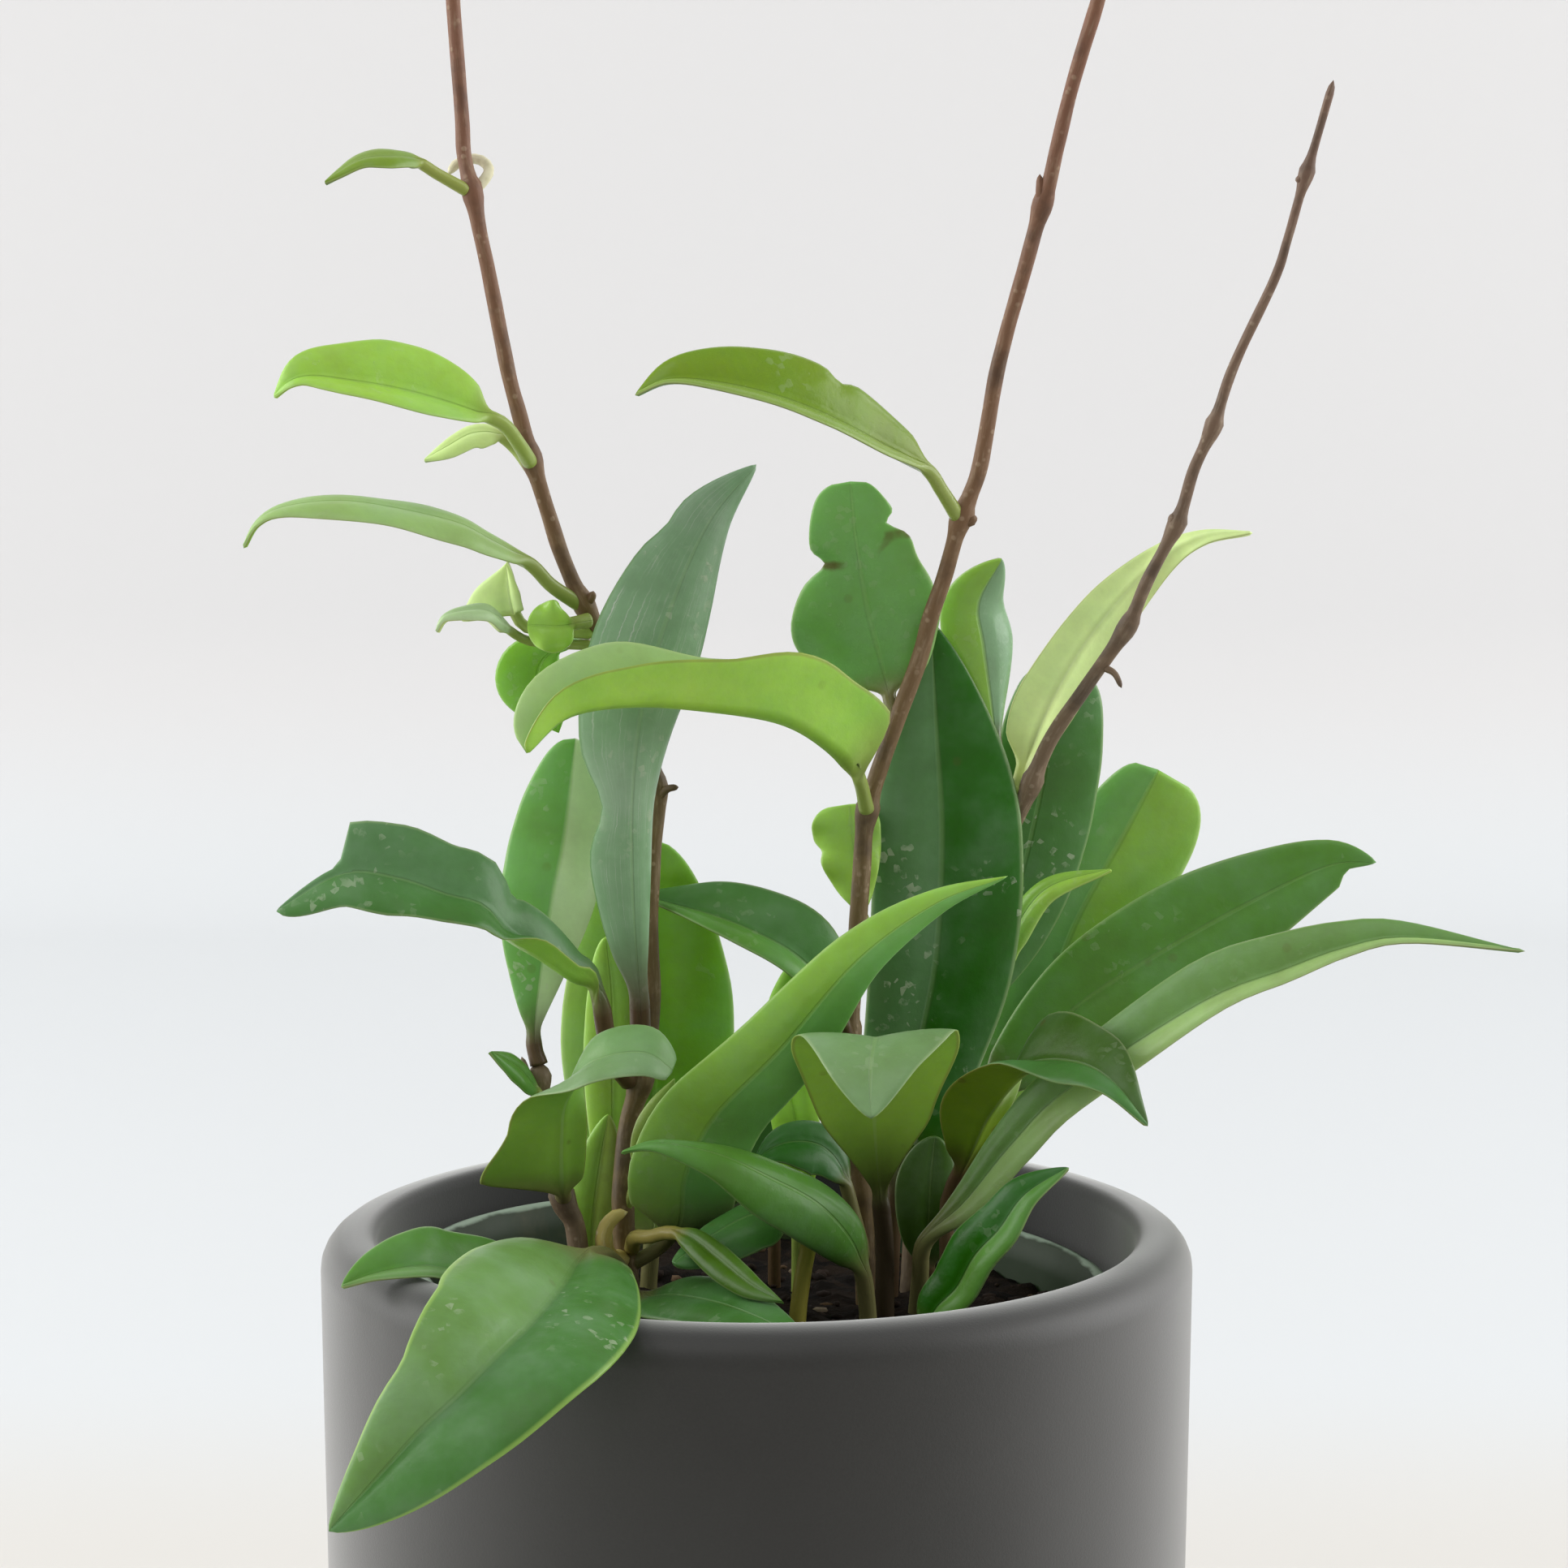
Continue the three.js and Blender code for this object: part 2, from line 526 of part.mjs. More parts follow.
    left: [[-7, 1, 0], [-7, 1, 0], [-6, 0, 2]], right: [[3, 5, 0], [5.6, 5, 0], [4.6, 3, -2]],
  },
  {
    name: 'leaf_right_3', on: 'vine_right', material: darkLeaf, stalk: 14, belly: 0.6, tip: 0.2,
    line: [[31, 24, 155], [38, 30, 169], [45, 32, 186], [49, 32, 202], [51.6, 32, 217], [53, 32, 227]],
    left: [[-9, 0, 2]], right: [[10, 2, -2]],
  },
  {
    name: 'leaf_right_4', on: 'vine_right', material: middleLeaf, stalk: 14, belly: 0.6, base: 0.45,
    tip: 0.28, bulge: 1,
    line: [
      [28, 23, 137], [34, 34, 142], [44, 40, 154], [52, 42, 169], [57, 44, 181], [65, 44, 196],
      [71, 42, 208],
    ],
    left: [[-9, 1, 4], [-9, 0, 4]], right: [[9, 2, -4], [11, 2, -5], [15.2, 2, -5]],
  },
  {
    name: 'leaf_right_5', on: 'vine_right', material: darkLeaf, stalk: 14, belly: 0.5, tip: 0.7,
    line: [
      [29, 24, 144], [36, 29, 147], [44, 32, 155], [57, 34, 167], [73, 36, 177], [89, 36, 186],
      [101, 34, 192], [109, 32, 193],
    ],
    left: [[-5, 2, 7], [-5, 2, 9], [-2, 2, 9.4]], right: [[5, -3, -7], [5, -3, -8], [3, -3, -8]],
    cuts: [[0.91, 1, 0.6]],
  },
  {
    name: 'leaf_right_6', on: 'vine_right', material: limeLeaf, stalk: 8, radius: 0.9, small: true,
    line: [[34, 24, 168], [42, 26, 175], [45, 26, 181], [51, 26, 189], [62, 24, 193]],
    left: [[-2, 2, 2], [0, 3, 2]], right: [[2, -2, -2], [0, -3, -2]],
  },
  {
    name: 'leaf_right_7', on: 'vine_right', material: paleLeaf, stalk: 4, radius: 0.8, small: true,
    line: [[32, 24, 158], [35, 23.6, 161], [37, 23.8, 165], [38.6, 24, 170]],
    left: [[-1.8, 0, 0]], right: [[1.8, 0, 0]],
  },
  // Leaves that rise from the soil
  {
    name: 'leaf_crown_1', soil: true, material: deepLeaf, stalk: 24, belly: 0.55, tip: 0.85,
    radius: 1.7, bulge: 1,
    line: [
      [23, 15, 112], [23, 16, 120], [24, 17, 135], [27, 18, 157], [31, 18, 178], [32, 17, 200],
      [31, 17, 219], [30, 16, 238],
    ],
    left: [[-12, 0, 0]], right: [[14.5, 1, 0]],
  },
  {
    name: 'leaf_crown_2', soil: true, material: darkLeaf, stalk: 27, belly: 0.5, base: 1, tip: 0.75,
    radius: 1.6,
    line: [
      [22, -1, 112], [22, -1, 121], [22, -1, 132], [21, -3, 143], [20, -10, 157], [20, -20, 169],
      [20, -27, 173], [19, -36, 170], [19, -42, 163],
    ],
    left: [[6, -2, 1], [11, -4, 4], [15, 0, 2], [12, -1, 2]],
    right: [[-6, -2, 1], [-11, -4, 4], [-15, 0, 1], [-12, -1, 2]],
  },
  {
    name: 'leaf_crown_3', soil: true, material: darkLeaf, stalk: 32, belly: 0.5, base: 0.5,
    tip: 0.7, radius: 1.3,
    line: [
      [33, 6, 112], [33, 7, 126], [33, 8, 137], [35, 6, 143], [37, 1, 149], [40, -4, 156.5],
      [45.5, -12, 165], [53, -22, 168], [59, -29, 166.5], [65, -34, 160],
    ],
    left: [[6, 0, 0], [6, 2, 3], [4, 7, 8], [5, 5, 6], [3, 3, 3]],
    right: [[-6, 0, 0], [-9, -1, 3], [-7, -3, 1], [-3, -5, -3], [-2, -4, -2]],
  },
  {
    name: 'leaf_crown_4', soil: true, material: middleLeaf, stalk: 22, belly: 0.4, tip: 1.1,
    radius: 1.5,
    line: [
      [27.4, 7, 112], [27.8, 3.8, 119], [28.2, 0.6, 126], [29, -3, 133], [36, -7, 141],
      [44, -11, 152], [53, -15, 162], [75, -21, 178], [88, -24, 184], [98, -25, 188],
      [108, -26, 190], [128, -26, 188],
    ],
    left: [[-3, 3, 3], [-3, 3, 4], [-3.4, 4, 7], [-1, 4, 6]],
    right: [[4, -4.4, -2], [2.6, -5, -1.6], [1.6, -4, -0.8], [0, -3.2, -0.6]],
  },
  {
    name: 'leaf_crown_5', soil: true, material: middleLeaf, stalk: 17, belly: 0.35, tip: 1.1,
    radius: 1.5,
    line: [
      [19.4, -7, 112], [19, -7.6, 122], [18, -10, 129.6], [15.6, -15, 136.5], [10, -21, 143.8],
      [2.1, -26, 149.3], [-5.4, -29, 153.5], [-12.9, -30, 155.6], [-17.7, -30, 155.9],
      [-22.5, -30, 154.5],
    ],
    left: [[-5, 0, -4], [-3.4, -2.4, -6], [-1, -4, -4]],
    right: [[3, 5, 2.4], [1.6, 6, 1.4], [0, 5, 1]],
  },
  {
    name: 'leaf_crown_6', soil: true, material: middleLeaf, stalk: 10, belly: 0.4, tip: 0.8,
    line: [
      [27, -24, 111], [29, -25, 119], [30, -26, 126], [34, -28, 131], [37, -30, 137],
      [41, -32, 142], [45, -33, 148], [52, -34, 153],
    ],
    left: [[-3.8, 3, 3.4]], right: [[2.4, -3.6, -1.6]],
  },
  {
    name: 'leaf_crown_7', soil: true, material: deepLeaf, stalk: 30, belly: 0.45, tip: 0.6, radius: 1.4,
    line: [
      [7, -10, 112], [7, -10, 121], [8, -9, 129], [9, -9, 136], [6, -11, 140], [0, -13, 140],
      [-7, -16, 137], [-14, -20, 133],
    ],
    left: [[-1, -6, -6]], right: [[1, 6, 2]],
  },
  {
    name: 'leaf_crown_8', on: 'vine_middle', material: middleLeaf, stalk: 16, belly: 0.5,
    line: [[19, 8, 126], [17, 5, 135], [14, 3, 145], [9, 2, 149], [2, -1, 148], [-4, -5, 140]],
    left: [[-2, -5, -4]], right: [[2, 4, 3]],
  },
  {
    name: 'leaf_crown_9', soil: true, material: limeLeaf, stalk: 22, belly: 0.45, tip: 0.8,
    radius: 1, small: true,
    line: [
      [7, 10, 112], [7, 10, 120], [7, 10, 134], [7, 10, 149], [5, 10, 160], [5, 8, 172],
      [8, 5.2, 183.2],
    ],
    left: [[-4.4, 0, 0]], right: [[4.4, 0, 0]],
  },
  {
    name: 'leaf_crown_10', soil: true, material: darkLeaf, stalk: 20, belly: 0.6, tip: 0.6,
    radius: 1.1, small: true,
    line: [[3, 17, 112], [3, 17, 118], [3, 17, 133], [3, 17, 143], [4, 17, 152], [4, 16, 162]],
    left: [[-7, 0, 0]], right: [[6, 1, 0]],
  },
  {
    name: 'leaf_crown_11', soil: true, material: darkLeaf, stalk: 12, belly: 0.6, tip: 0.6,
    radius: 1.1, small: true,
    line: [[31, 15, 112], [30, 14, 125], [30, 12, 137], [31, 13, 148]],
    left: [[-6, 0, 0]], right: [[5, 0, 0]],
  },
  {
    name: 'leaf_crown_12', soil: true, material: middleLeaf, stalk: 16, belly: 0.5, tip: 0.6,
    base: 0.55, radius: 1.5, bulge: 1,
    line: [
      [-19, 13, 112], [-19, 14, 121], [-18, 15, 134], [-18, 16, 148], [-18, 16, 169],
      [-18, 15, 187], [-17, 13, 200],
    ],
    left: [[-16, 1, 0]], right: [[14, 1, 0]],
  },
  {
    name: 'leaf_crown_13', soil: true, material: middleLeaf, stalk: 14, belly: 0.45, tip: 0.7,
    radius: 1, small: true,
    line: [[-29, 6, 112], [-29, 5, 121], [-28.6, 4, 133], [-27.4, 4, 143], [-25.6, 5, 153.6]],
    left: [[-4.4, 0, 0]], right: [[4.6, 0, 0]],
  },
  // Short stem at the left
  {
    name: 'leaf_short_1', on: 'stem_short', material: darkLeaf, stalk: 4, belly: 0.6, base: 1,
    tip: 0.45, radius: 1.4,
    line: [[-37, -5, 164], [-38, -4, 169], [-37, -2, 179], [-35, 0, 192], [-33, 3, 202], [-31, 6, 219]],
    left: [[-9, 0, 0], [-9.5, 0, 0], [-8, 0, 2]], right: [[6, 3, 0], [8, 4, 0], [8, 3, -2]],
  },
  {
    name: 'leaf_short_2', on: 'stem_short', material: middleLeaf, stalk: 4, belly: 0.2, base: 0.32,
    tip: 0.3, radius: 1.4,
    line: [
      [-33, -6, 141], [-33, -11, 145], [-33, -15, 154], [-32, -18, 162], [-27, -22, 168],
      [-19, -24, 170], [-14, -24, 167],
    ],
    left: [[4, 0, 0], [4.4, 1, 0], [2, 6, 5.4], [1, 7, 6]],
    right: [[-17, -1, -1.6], [-9, -2, 0], [-3, -6, -3.6], [-1, -6, -4]],
  },
  {
    name: 'leaf_short_3', on: 'stem_short', material: freshLeaf, stalk: 3, radius: 0.9, small: true,
    line: [[-36, -5, 158], [-38.5, -8, 161.6], [-41, -11, 165], [-45, -15, 168.6]],
    left: [[0, -2.6, -2]], right: [[0, 2.6, 1.4]],
  },
  {
    name: 'leaf_short_4', on: 'stem_short', material: darkLeaf, stalk: 16, belly: 0.48, tip: 0.8,
    line: [
      [-30, -6, 126], [-35.9, -16, 130], [-42.5, -24, 132.7], [-50, -30, 134.1], [-55.6, -35, 136],
      [-62.9, -39, 135.8], [-68.4, -42, 134.6],
    ],
    left: [[0, -6.4, -0.2]], right: [[0, 6, 5.8]],
  },
];

// Young shoots curled about the left vine
const shoots = {
  shoot_left_1: {
    radii: [1, 0.8],
    line: [
      [-48, 5.4, 311.6], [-45.3, 6.6, 314.7], [-45.3, 8.4, 316.3], [-47, 9.4, 317.4],
      [-49.2, 9.8, 317.2], [-50.9, 9.2, 316.3], [-52, 8, 314.7],
    ],
  },
  shoot_left_2: {
    radii: [1.8, 1.5, 1],
    line: [
      [-22.5, 0, 129.6], [-24.6, -3.8, 129.9], [-26, -5.6, 132.4], [-26, -6.2, 135.8],
      [-24.3, -5.8, 138], [-22, -4.8, 138.6],
    ],
  },
};
for (const [name, shoot] of Object.entries(shoots)) {
  const solid = stemSolid(shoot.line, shoot.radii, [], 0, 14, 7);
  add(name, solid.subtract(stemRooms.vine_left), limeLeaf);
}

const roots = [];
leaves.forEach((leaf) => {
  let solid = leafSolid(leaf);
  if (leaf.on) solid = solid.subtract(stemRooms[leaf.on]);
  if (leaf.soil) roots.push({ line: leaf.line.slice(0, 4), radius: leaf.radius ?? 1.2 });
  add(leaf.name, solid, leaf.material);
});

// Ceramic pot: straight sides that narrow slightly to the foot, thick rounded lip
const potSolid = latheSolid(
  [
    [0, 0],
    [potFootRadius - 3, 0],
    [potFootRadius - 0.6, 1],
    [potFootRadius, 3.4],
    [potRadius - 0.4, potHeight - 34],
    [potRadius, potHeight - 7.4],
    [potRadius - 0.5, potHeight - 4],
    [potRadius - 1.9, potHeight - 1.6],
    [potRadius - 4, potHeight - 0.3],
    [potRadius - 6, potHeight],
    [potMouthRadius + 1.4, potHeight - 0.4],
    [potMouthRadius + 0.3, potHeight - 1.4],
    [potMouthRadius, potHeight - 3],
    [potMouthRadius - 0.4, potHeight - 20],
    [potMouthRadius - 3, potFloor + 6],
    [potMouthRadius - 6, potFloor],
    [0, potFloor],
  ],
  potSides,
);
add('cachepot', potSolid, ceramicGrey);

// Nursery pot and soil are turned together about the middle of the nursery pot's rim
function leanOver(solid) {
  const lean = new THREE.Matrix4()
    .makeTranslation(nurseryShift, 0, nurseryLift + nurseryHeight)
    .multiply(new THREE.Matrix4().makeRotationY(THREE.MathUtils.degToRad(nurseryLean)))
    .multiply(new THREE.Matrix4().makeTranslation(0, 0, -nurseryHeight));
  return solidOf(geometryOf(solid).applyMatrix4(lean));
}

const rimFoot = nurseryHeight - 5;
let nurserySolid = latheSolid(
  [
    [0, 0],
    [nurseryFootRadius - 2, 0],
    [nurseryFootRadius, 1.6],
    [nurseryRimRadius - 2.6, rimFoot],
    [nurseryRimRadius - 0.5, rimFoot + 0.4],
    [nurseryRimRadius, rimFoot + 2],
    [nurseryRimRadius - 0.5, nurseryHeight - 0.3],
    [nurseryRimRadius - 1.6, nurseryHeight],
    [nurseryRimRadius - 2.6, nurseryHeight - 0.5],
    [nurseryRimRadius - 2.6 - nurseryWall, rimFoot],
    [nurseryFootRadius - nurseryWall, 1.6 + nurseryWall],
    [nurseryFootRadius - 2 - nurseryWall, nurseryWall],
    [0, nurseryWall],
  ],
  28,
);
const drainCount = 6;
for (let i = 0; i < drainCount; i += 1) {
  const angle = (2 * Math.PI * i) / drainCount;
  const drain = new THREE.CylinderGeometry(3.5, 3.5, 6, 10);
  drain.rotateX(Math.PI / 2);
  drain.translate(28 * Math.cos(angle), 28 * Math.sin(angle), 0);
  nurserySolid = nurserySolid.subtract(solidOf(drain));
}
add('nursery_pot', leanOver(nurserySolid), nurseryGreen);

const soilRadius = (height) => {
  const share = (height - 1.6 - nurseryWall) / (rimFoot - 1.6 - nurseryWall);
  const foot = nurseryFootRadius - nurseryWall;
  const top = nurseryRimRadius - 2.6 - nurseryWall;
  return THREE.MathUtils.lerp(foot, top, share) - gap - 0.15;
};
const soilGeometry = new THREE.LatheGeometry(
  [
    [0, nurseryWall + gap],
    [nurseryFootRadius - 3 - nurseryWall, nurseryWall + gap],
    [soilRadius(4), 4],
    [soilRadius(soilLevel), soilLevel],
    [46, soilLevel + 0.6],
    [32, soilLevel + 0.5 * soilMound],
    [16, soilLevel + 0.8 * soilMound],
    [0, soilLevel + soilMound],
  ].map(([r, z]) => new THREE.Vector2(r, z)),
  24,
).rotateX(Math.PI / 2);
const soilPoints = soilGeometry.getAttribute('position');
for (let i = 0; i < soilPoints.count; i += 1) {
  const x = soilPoints.getX(i);
  const y = soilPoints.getY(i);
  const z = soilPoints.getZ(i);
  const distance = Math.hypot(x, y);
  const ripple = Math.sin(x * 0.31 + 1) * Math.cos(y * 0.27) * Math.min(1, distance / 12);
  if (z > soilLevel + 0.3) soilPoints.setZ(i, z + 0.9 * ripple);
}
let soilSolid = leanOver(solidOf(soilGeometry));
Object.values(stemRooms).forEach((room) => {
  soilSolid = soilSolid.subtract(room);
});
roots.forEach((root) => {
  soilSolid = soilSolid.subtract(stemSolid(root.line, [root.radius, root.radius], [], gap, 7, 8));
});
add('soil', soilSolid, soilBrown);

export default group;
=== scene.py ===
import math
import random

import bmesh
import bpy
from mathutils import Matrix, Vector, noise


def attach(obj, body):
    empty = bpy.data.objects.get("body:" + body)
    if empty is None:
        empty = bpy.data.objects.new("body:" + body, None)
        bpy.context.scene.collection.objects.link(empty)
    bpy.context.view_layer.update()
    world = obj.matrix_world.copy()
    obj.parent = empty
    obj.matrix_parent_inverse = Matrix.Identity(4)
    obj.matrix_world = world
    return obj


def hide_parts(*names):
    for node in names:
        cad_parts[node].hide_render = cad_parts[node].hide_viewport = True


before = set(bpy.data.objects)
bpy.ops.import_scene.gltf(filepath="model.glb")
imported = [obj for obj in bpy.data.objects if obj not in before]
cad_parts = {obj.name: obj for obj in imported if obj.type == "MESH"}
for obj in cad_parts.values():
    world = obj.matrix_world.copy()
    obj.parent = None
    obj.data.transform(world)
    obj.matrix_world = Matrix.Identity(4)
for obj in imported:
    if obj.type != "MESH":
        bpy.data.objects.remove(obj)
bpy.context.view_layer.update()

# Hoya in a thin nursery pot, set down in a grey ceramic pot. Tables are in millimetres,
# everything built from them is in metres.
mm = 0.001
scene = bpy.context.scene


def colour(code):  # "#rrggbb" to a linear colour with alpha
    parts = [int(code[i:i + 2], 16) / 255 for i in (1, 3, 5)]
    return (*[p / 12.92 if p < 0.04045 else ((p + 0.055) / 1.055) ** 2.4 for p in parts], 1)


def smooth(x, low, high):
    t = min(max((x - low) / (high - low), 0), 1)
    return t * t * (3 - 2 * t)


def blend(a, b, share):
    return a + (b - a) * share


# camera: eye level a little above the vines' middle, long lens, looking slightly down
cameraSet = {"place": (4.7, -972.4, 366.4), "pitch": 9.02, "lens": 132.89, "sensor": 36}
camera = bpy.data.objects.new("camera", bpy.data.cameras.new("camera"))
camera.data.lens = cameraSet["lens"]
camera.data.sensor_width = cameraSet["sensor"]
camera.data.clip_start = 0.05
camera.data.clip_end = 30
camera.location = Vector(cameraSet["place"]) * mm
camera.rotation_euler = (math.radians(90 - cameraSet["pitch"]), 0, 0)
scene.collection.objects.link(camera)
scene.camera = camera
scene.view_settings.view_transform = "Standard"


# shader maths: a socket that can be added, multiplied and so on
class Signal:
    def __init__(self, paint, socket):
        self.paint = paint
        self.socket = socket

    def __add__(self, other):
        return self.paint.maths("ADD", self, other)

    def __sub__(self, other):
        return self.paint.maths("SUBTRACT", self, other)

    def __rsub__(self, other):
        return self.paint.maths("SUBTRACT", other, self)

    def __mul__(self, other):
        return self.paint.maths("MULTIPLY", self, other)

    def __neg__(self):
        return self.paint.maths("MULTIPLY", self, -1)

    __radd__ = __add__
    __rmul__ = __mul__


class Paint:  # one material and its node tree
    def __init__(self, name, **fixed):
        self.material = bpy.data.materials.new(name)
        self.material.use_nodes = True
        self.tree = self.material.node_tree
        self.tree.nodes.clear()
        self.shader = self.tree.nodes.new("ShaderNodeBsdfPrincipled")
        end = self.tree.nodes.new("ShaderNodeOutputMaterial")
        self.tree.links.new(self.shader.outputs[0], end.inputs[0])
        for name, value in fixed.items():
            self.shader.inputs[name.replace("_", " ")].default_value = value

    def node(self, kind, settings=None, sockets=None, out=0):
        made = self.tree.nodes.new("ShaderNode" + kind)
        for name, value in (settings or {}).items():
            if name == "stops":
                ramp = made.color_ramp.elements
                while len(ramp) < len(value):
                    ramp.new(0.5)
                for element, (place, shown) in zip(ramp, value):
                    element.position = place
                    element.color = shown
            else:
                setattr(made, name, value)
        for name, value in (sockets or {}).items():
            if isinstance(value, Signal):
                self.tree.links.new(value.socket, made.inputs[name])
            else:
                made.inputs[name].default_value = value
        return Signal(self, made.outputs[out])

    def maths(self, operation, a, b=0.0):
        return self.node("Math", {"operation": operation}, {0: a, 1: b})

    def step(self, value, low, high):  # 0 below low, 1 above high, smooth between
        ends = {"Value": value, "From Min": low, "From Max": high}
        return self.node("MapRange", {"interpolation_type": "SMOOTHSTEP"}, ends)

    def mix(self, share, a, b):
        return self.node("Mix", {"data_type": "RGBA"}, {0: share, 6: a, 7: b}, 2)

    def grain(self, place, scale, detail=3.0, rough=0.5):
        ends = {"Vector": place, "Scale": scale, "Detail": detail, "Roughness": rough}
        return self.node("TexNoise", {}, ends)

    def cells(self, place, scale, out="Distance"):
        return self.node("TexVoronoi", {}, {"Vector": place, "Scale": scale}, out)

    def joined(self, x, y, z):
        return self.node("CombineXYZ", {}, {0: x, 1: y, 2: z})

    def parts(self, vector):
        return [self.node("SeparateXYZ", {}, {0: vector}, i) for i in range(3)]

    def objectPlace(self):
        return self.node("TexCoord", {}, {}, "Object")

    def surfacePlace(self):
        return self.parts(self.node("UVMap", {"uv_map": "skin"}))

    def bump(self, height, depth, strength=1.0):
        return self.node("Bump", {}, {"Height": height, "Distance": depth, "Strength": strength})

    def finish(self, **ends):
        for name, value in ends.items():
            self.tree.links.new(value.socket, self.shader.inputs[name.replace("_", " ")])
        return self.material


# shapes: a curve through points, and a grid rolled into a skin
pathSteps = 400


class Path:  # smooth curve through points in millimetres, read by share of its length
    def __init__(self, points):
        rows = [Vector(p) for p in points]
        spans = len(rows) - 1
        self.trace = []
        for k in range(pathSteps + 1):
            place = spans * k / pathSteps
            i = min(int(place), spans - 1)
            w = place - i
            b, c = rows[i], rows[i + 1]
            a = rows[i - 1] if i else b * 2 - c
            d = rows[i + 2] if i + 2 <= spans else c * 2 - b
            s, t = (c - a) * 0.5, (d - b) * 0.5
            bend = (b * 2 - c * 2 + s + t) * w ** 3 + (c * 3 - b * 3 - s * 2 - t) * w ** 2
            self.trace.append(bend + s * w + b)
        self.runs = [0]
        for p, q in zip(self.trace, self.trace[1:]):
            self.runs.append(self.runs[-1] + (q - p).length)
        self.length = self.runs[-1]

    def at(self, share):
        run = min(max(share, 0), 1) * self.length
        low, high = 0, pathSteps
        while high - low > 1:
            middle = (low + high) // 2
            if self.runs[middle] <= run:
                low = middle
            else:
                high = middle
        w = (run - self.runs[low]) / max(self.runs[high] - self.runs[low], 1e-9)
        return self.trace[low].lerp(self.trace[high], w)

    def heading(self, share):
        return (self.at(share + 0.004) - self.at(share - 0.004)).normalized()


def wrapGrid(around, rows, place, row):
    # a grid rolled into a closed skin: place(u, j) is the point at u round it in row j,
    # row(j) the second UV coordinate there
    bm = bmesh.new()
    skin = bm.loops.layers.uv.new("skin")
    bmesh.ops.create_grid(bm, x_segments=around, y_segments=rows, size=1, calc_uvs=True)
    for face in bm.faces:
        for loop in face.loops:
            u, j = (loop.vert.co.x + 1) / 2, (loop.vert.co.y + 1) / 2 * rows
            loop[skin].uv = (u, row(round(j)))
    for vert in bm.verts:
        vert.co = place((vert.co.x + 1) / 2, round((vert.co.y + 1) / 2 * rows)) * mm
    bmesh.ops.remove_doubles(bm, verts=bm.verts, dist=2e-6)
    bmesh.ops.recalc_face_normals(bm, faces=bm.faces)
    return bm


def piece(name, bm, material, slot, *nodes):
    mesh = bpy.data.meshes.new(name)
    bm.to_mesh(mesh)
    bm.free()
    mesh.materials.append(material)
    mesh.polygons.foreach_set("use_smooth", [True] * len(mesh.polygons))
    made = bpy.data.objects.new(name, mesh)
    scene.collection.objects.link(made)
    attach(made, "root")
    if nodes:
        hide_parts(*nodes)
    return made


# studio: pale floor that runs up into a pale wall, soft light from all sides
studio = {
    "floor": "#bec1c3", "wall": "#bfbebe", "near": "#bdbbb7",
    "front": -2.6, "back": 1.1, "bend": 0.10, "height": 3.0, "halfWidth": 3.2, "glow": 0.37,
    "air": "#f6f4f1", "airLight": 0.43,
}
bm = bmesh.new()
bmesh.ops.create_grid(bm, x_segments=2, y_segments=60, size=1)
for vert in bm.verts:
    share = (vert.co.y + 1) / 2
    bend, flat = studio["bend"], studio["back"] - studio["bend"] - studio["front"]
    if share < 0.4:
        y, z = studio["front"] + flat * share / 0.4, 0
    elif share < 0.8:
        angle = (share - 0.4) / 0.4 * math.pi / 2
        y, z = studio["back"] - bend + bend * math.sin(angle), bend - bend * math.cos(angle)
    else:
        y, z = studio["back"], bend + (studio["height"] - bend) * (share - 0.8) / 0.2
    vert.co = (vert.co.x * studio["halfWidth"], y, z)
paint = Paint("studioPaper", Roughness=0.9, Emission_Strength=studio["glow"])
x, y, z = paint.parts(paint.objectPlace())
ground = paint.mix(paint.step(y, 0.24, 0.42), colour(studio["near"]), colour(studio["floor"]))
shown = paint.mix(paint.step(z, 0.0, 0.08), ground, colour(studio["wall"]))
front = 1 - paint.node("NewGeometry", {}, {}, "Backfacing")  # a view from behind looks through the paper
mesh = bpy.data.meshes.new("studioSweep")
bm.to_mesh(mesh)
bm.free()
mesh.materials.append(paint.finish(Base_Color=shown, Emission_Color=shown, Alpha=front))
mesh.polygons.foreach_set("use_smooth", [True] * len(mesh.polygons))
sweep = bpy.data.objects.new("studioSweep", mesh)
scene.collection.objects.link(sweep)

lamps = {  # place and aim in metres, size in metres, watts
    "leftWindow": {"place": (-1.5, 0.1, 0.8), "aim": (0, 0, 0.15), "size": 1.5, "watts": 27},
    "rightWindow": {"place": (1.5, 0.2, 0.7), "aim": (0, 0, 0.15), "size": 1.4, "watts": 25},
    "overhead": {"place": (-0.3, -0.7, 1.6), "aim": (0, 0, 0.2), "size": 1.1, "watts": 5},
}
for name, lamp in lamps.items():
    light = bpy.data.lights.new(name, "AREA")
    light.energy = lamp["watts"]
    light.size = lamp["size"]
    holder = bpy.data.objects.new(name, light)
    holder.location = lamp["place"]
    aim = Vector(lamp["aim"]) - Vector(lamp["place"])
    holder.rotation_euler = aim.to_track_quat("-Z", "Y").to_euler()
    scene.collection.objects.link(holder)
world = bpy.data.worlds.new("softRoom")
world.use_nodes = True
air = world.node_tree.nodes["Background"].inputs
air["Color"].default_value = colour(studio["air"])
air["Strength"].default_value = studio["airLight"]
scene.world = world
print("studio ready")


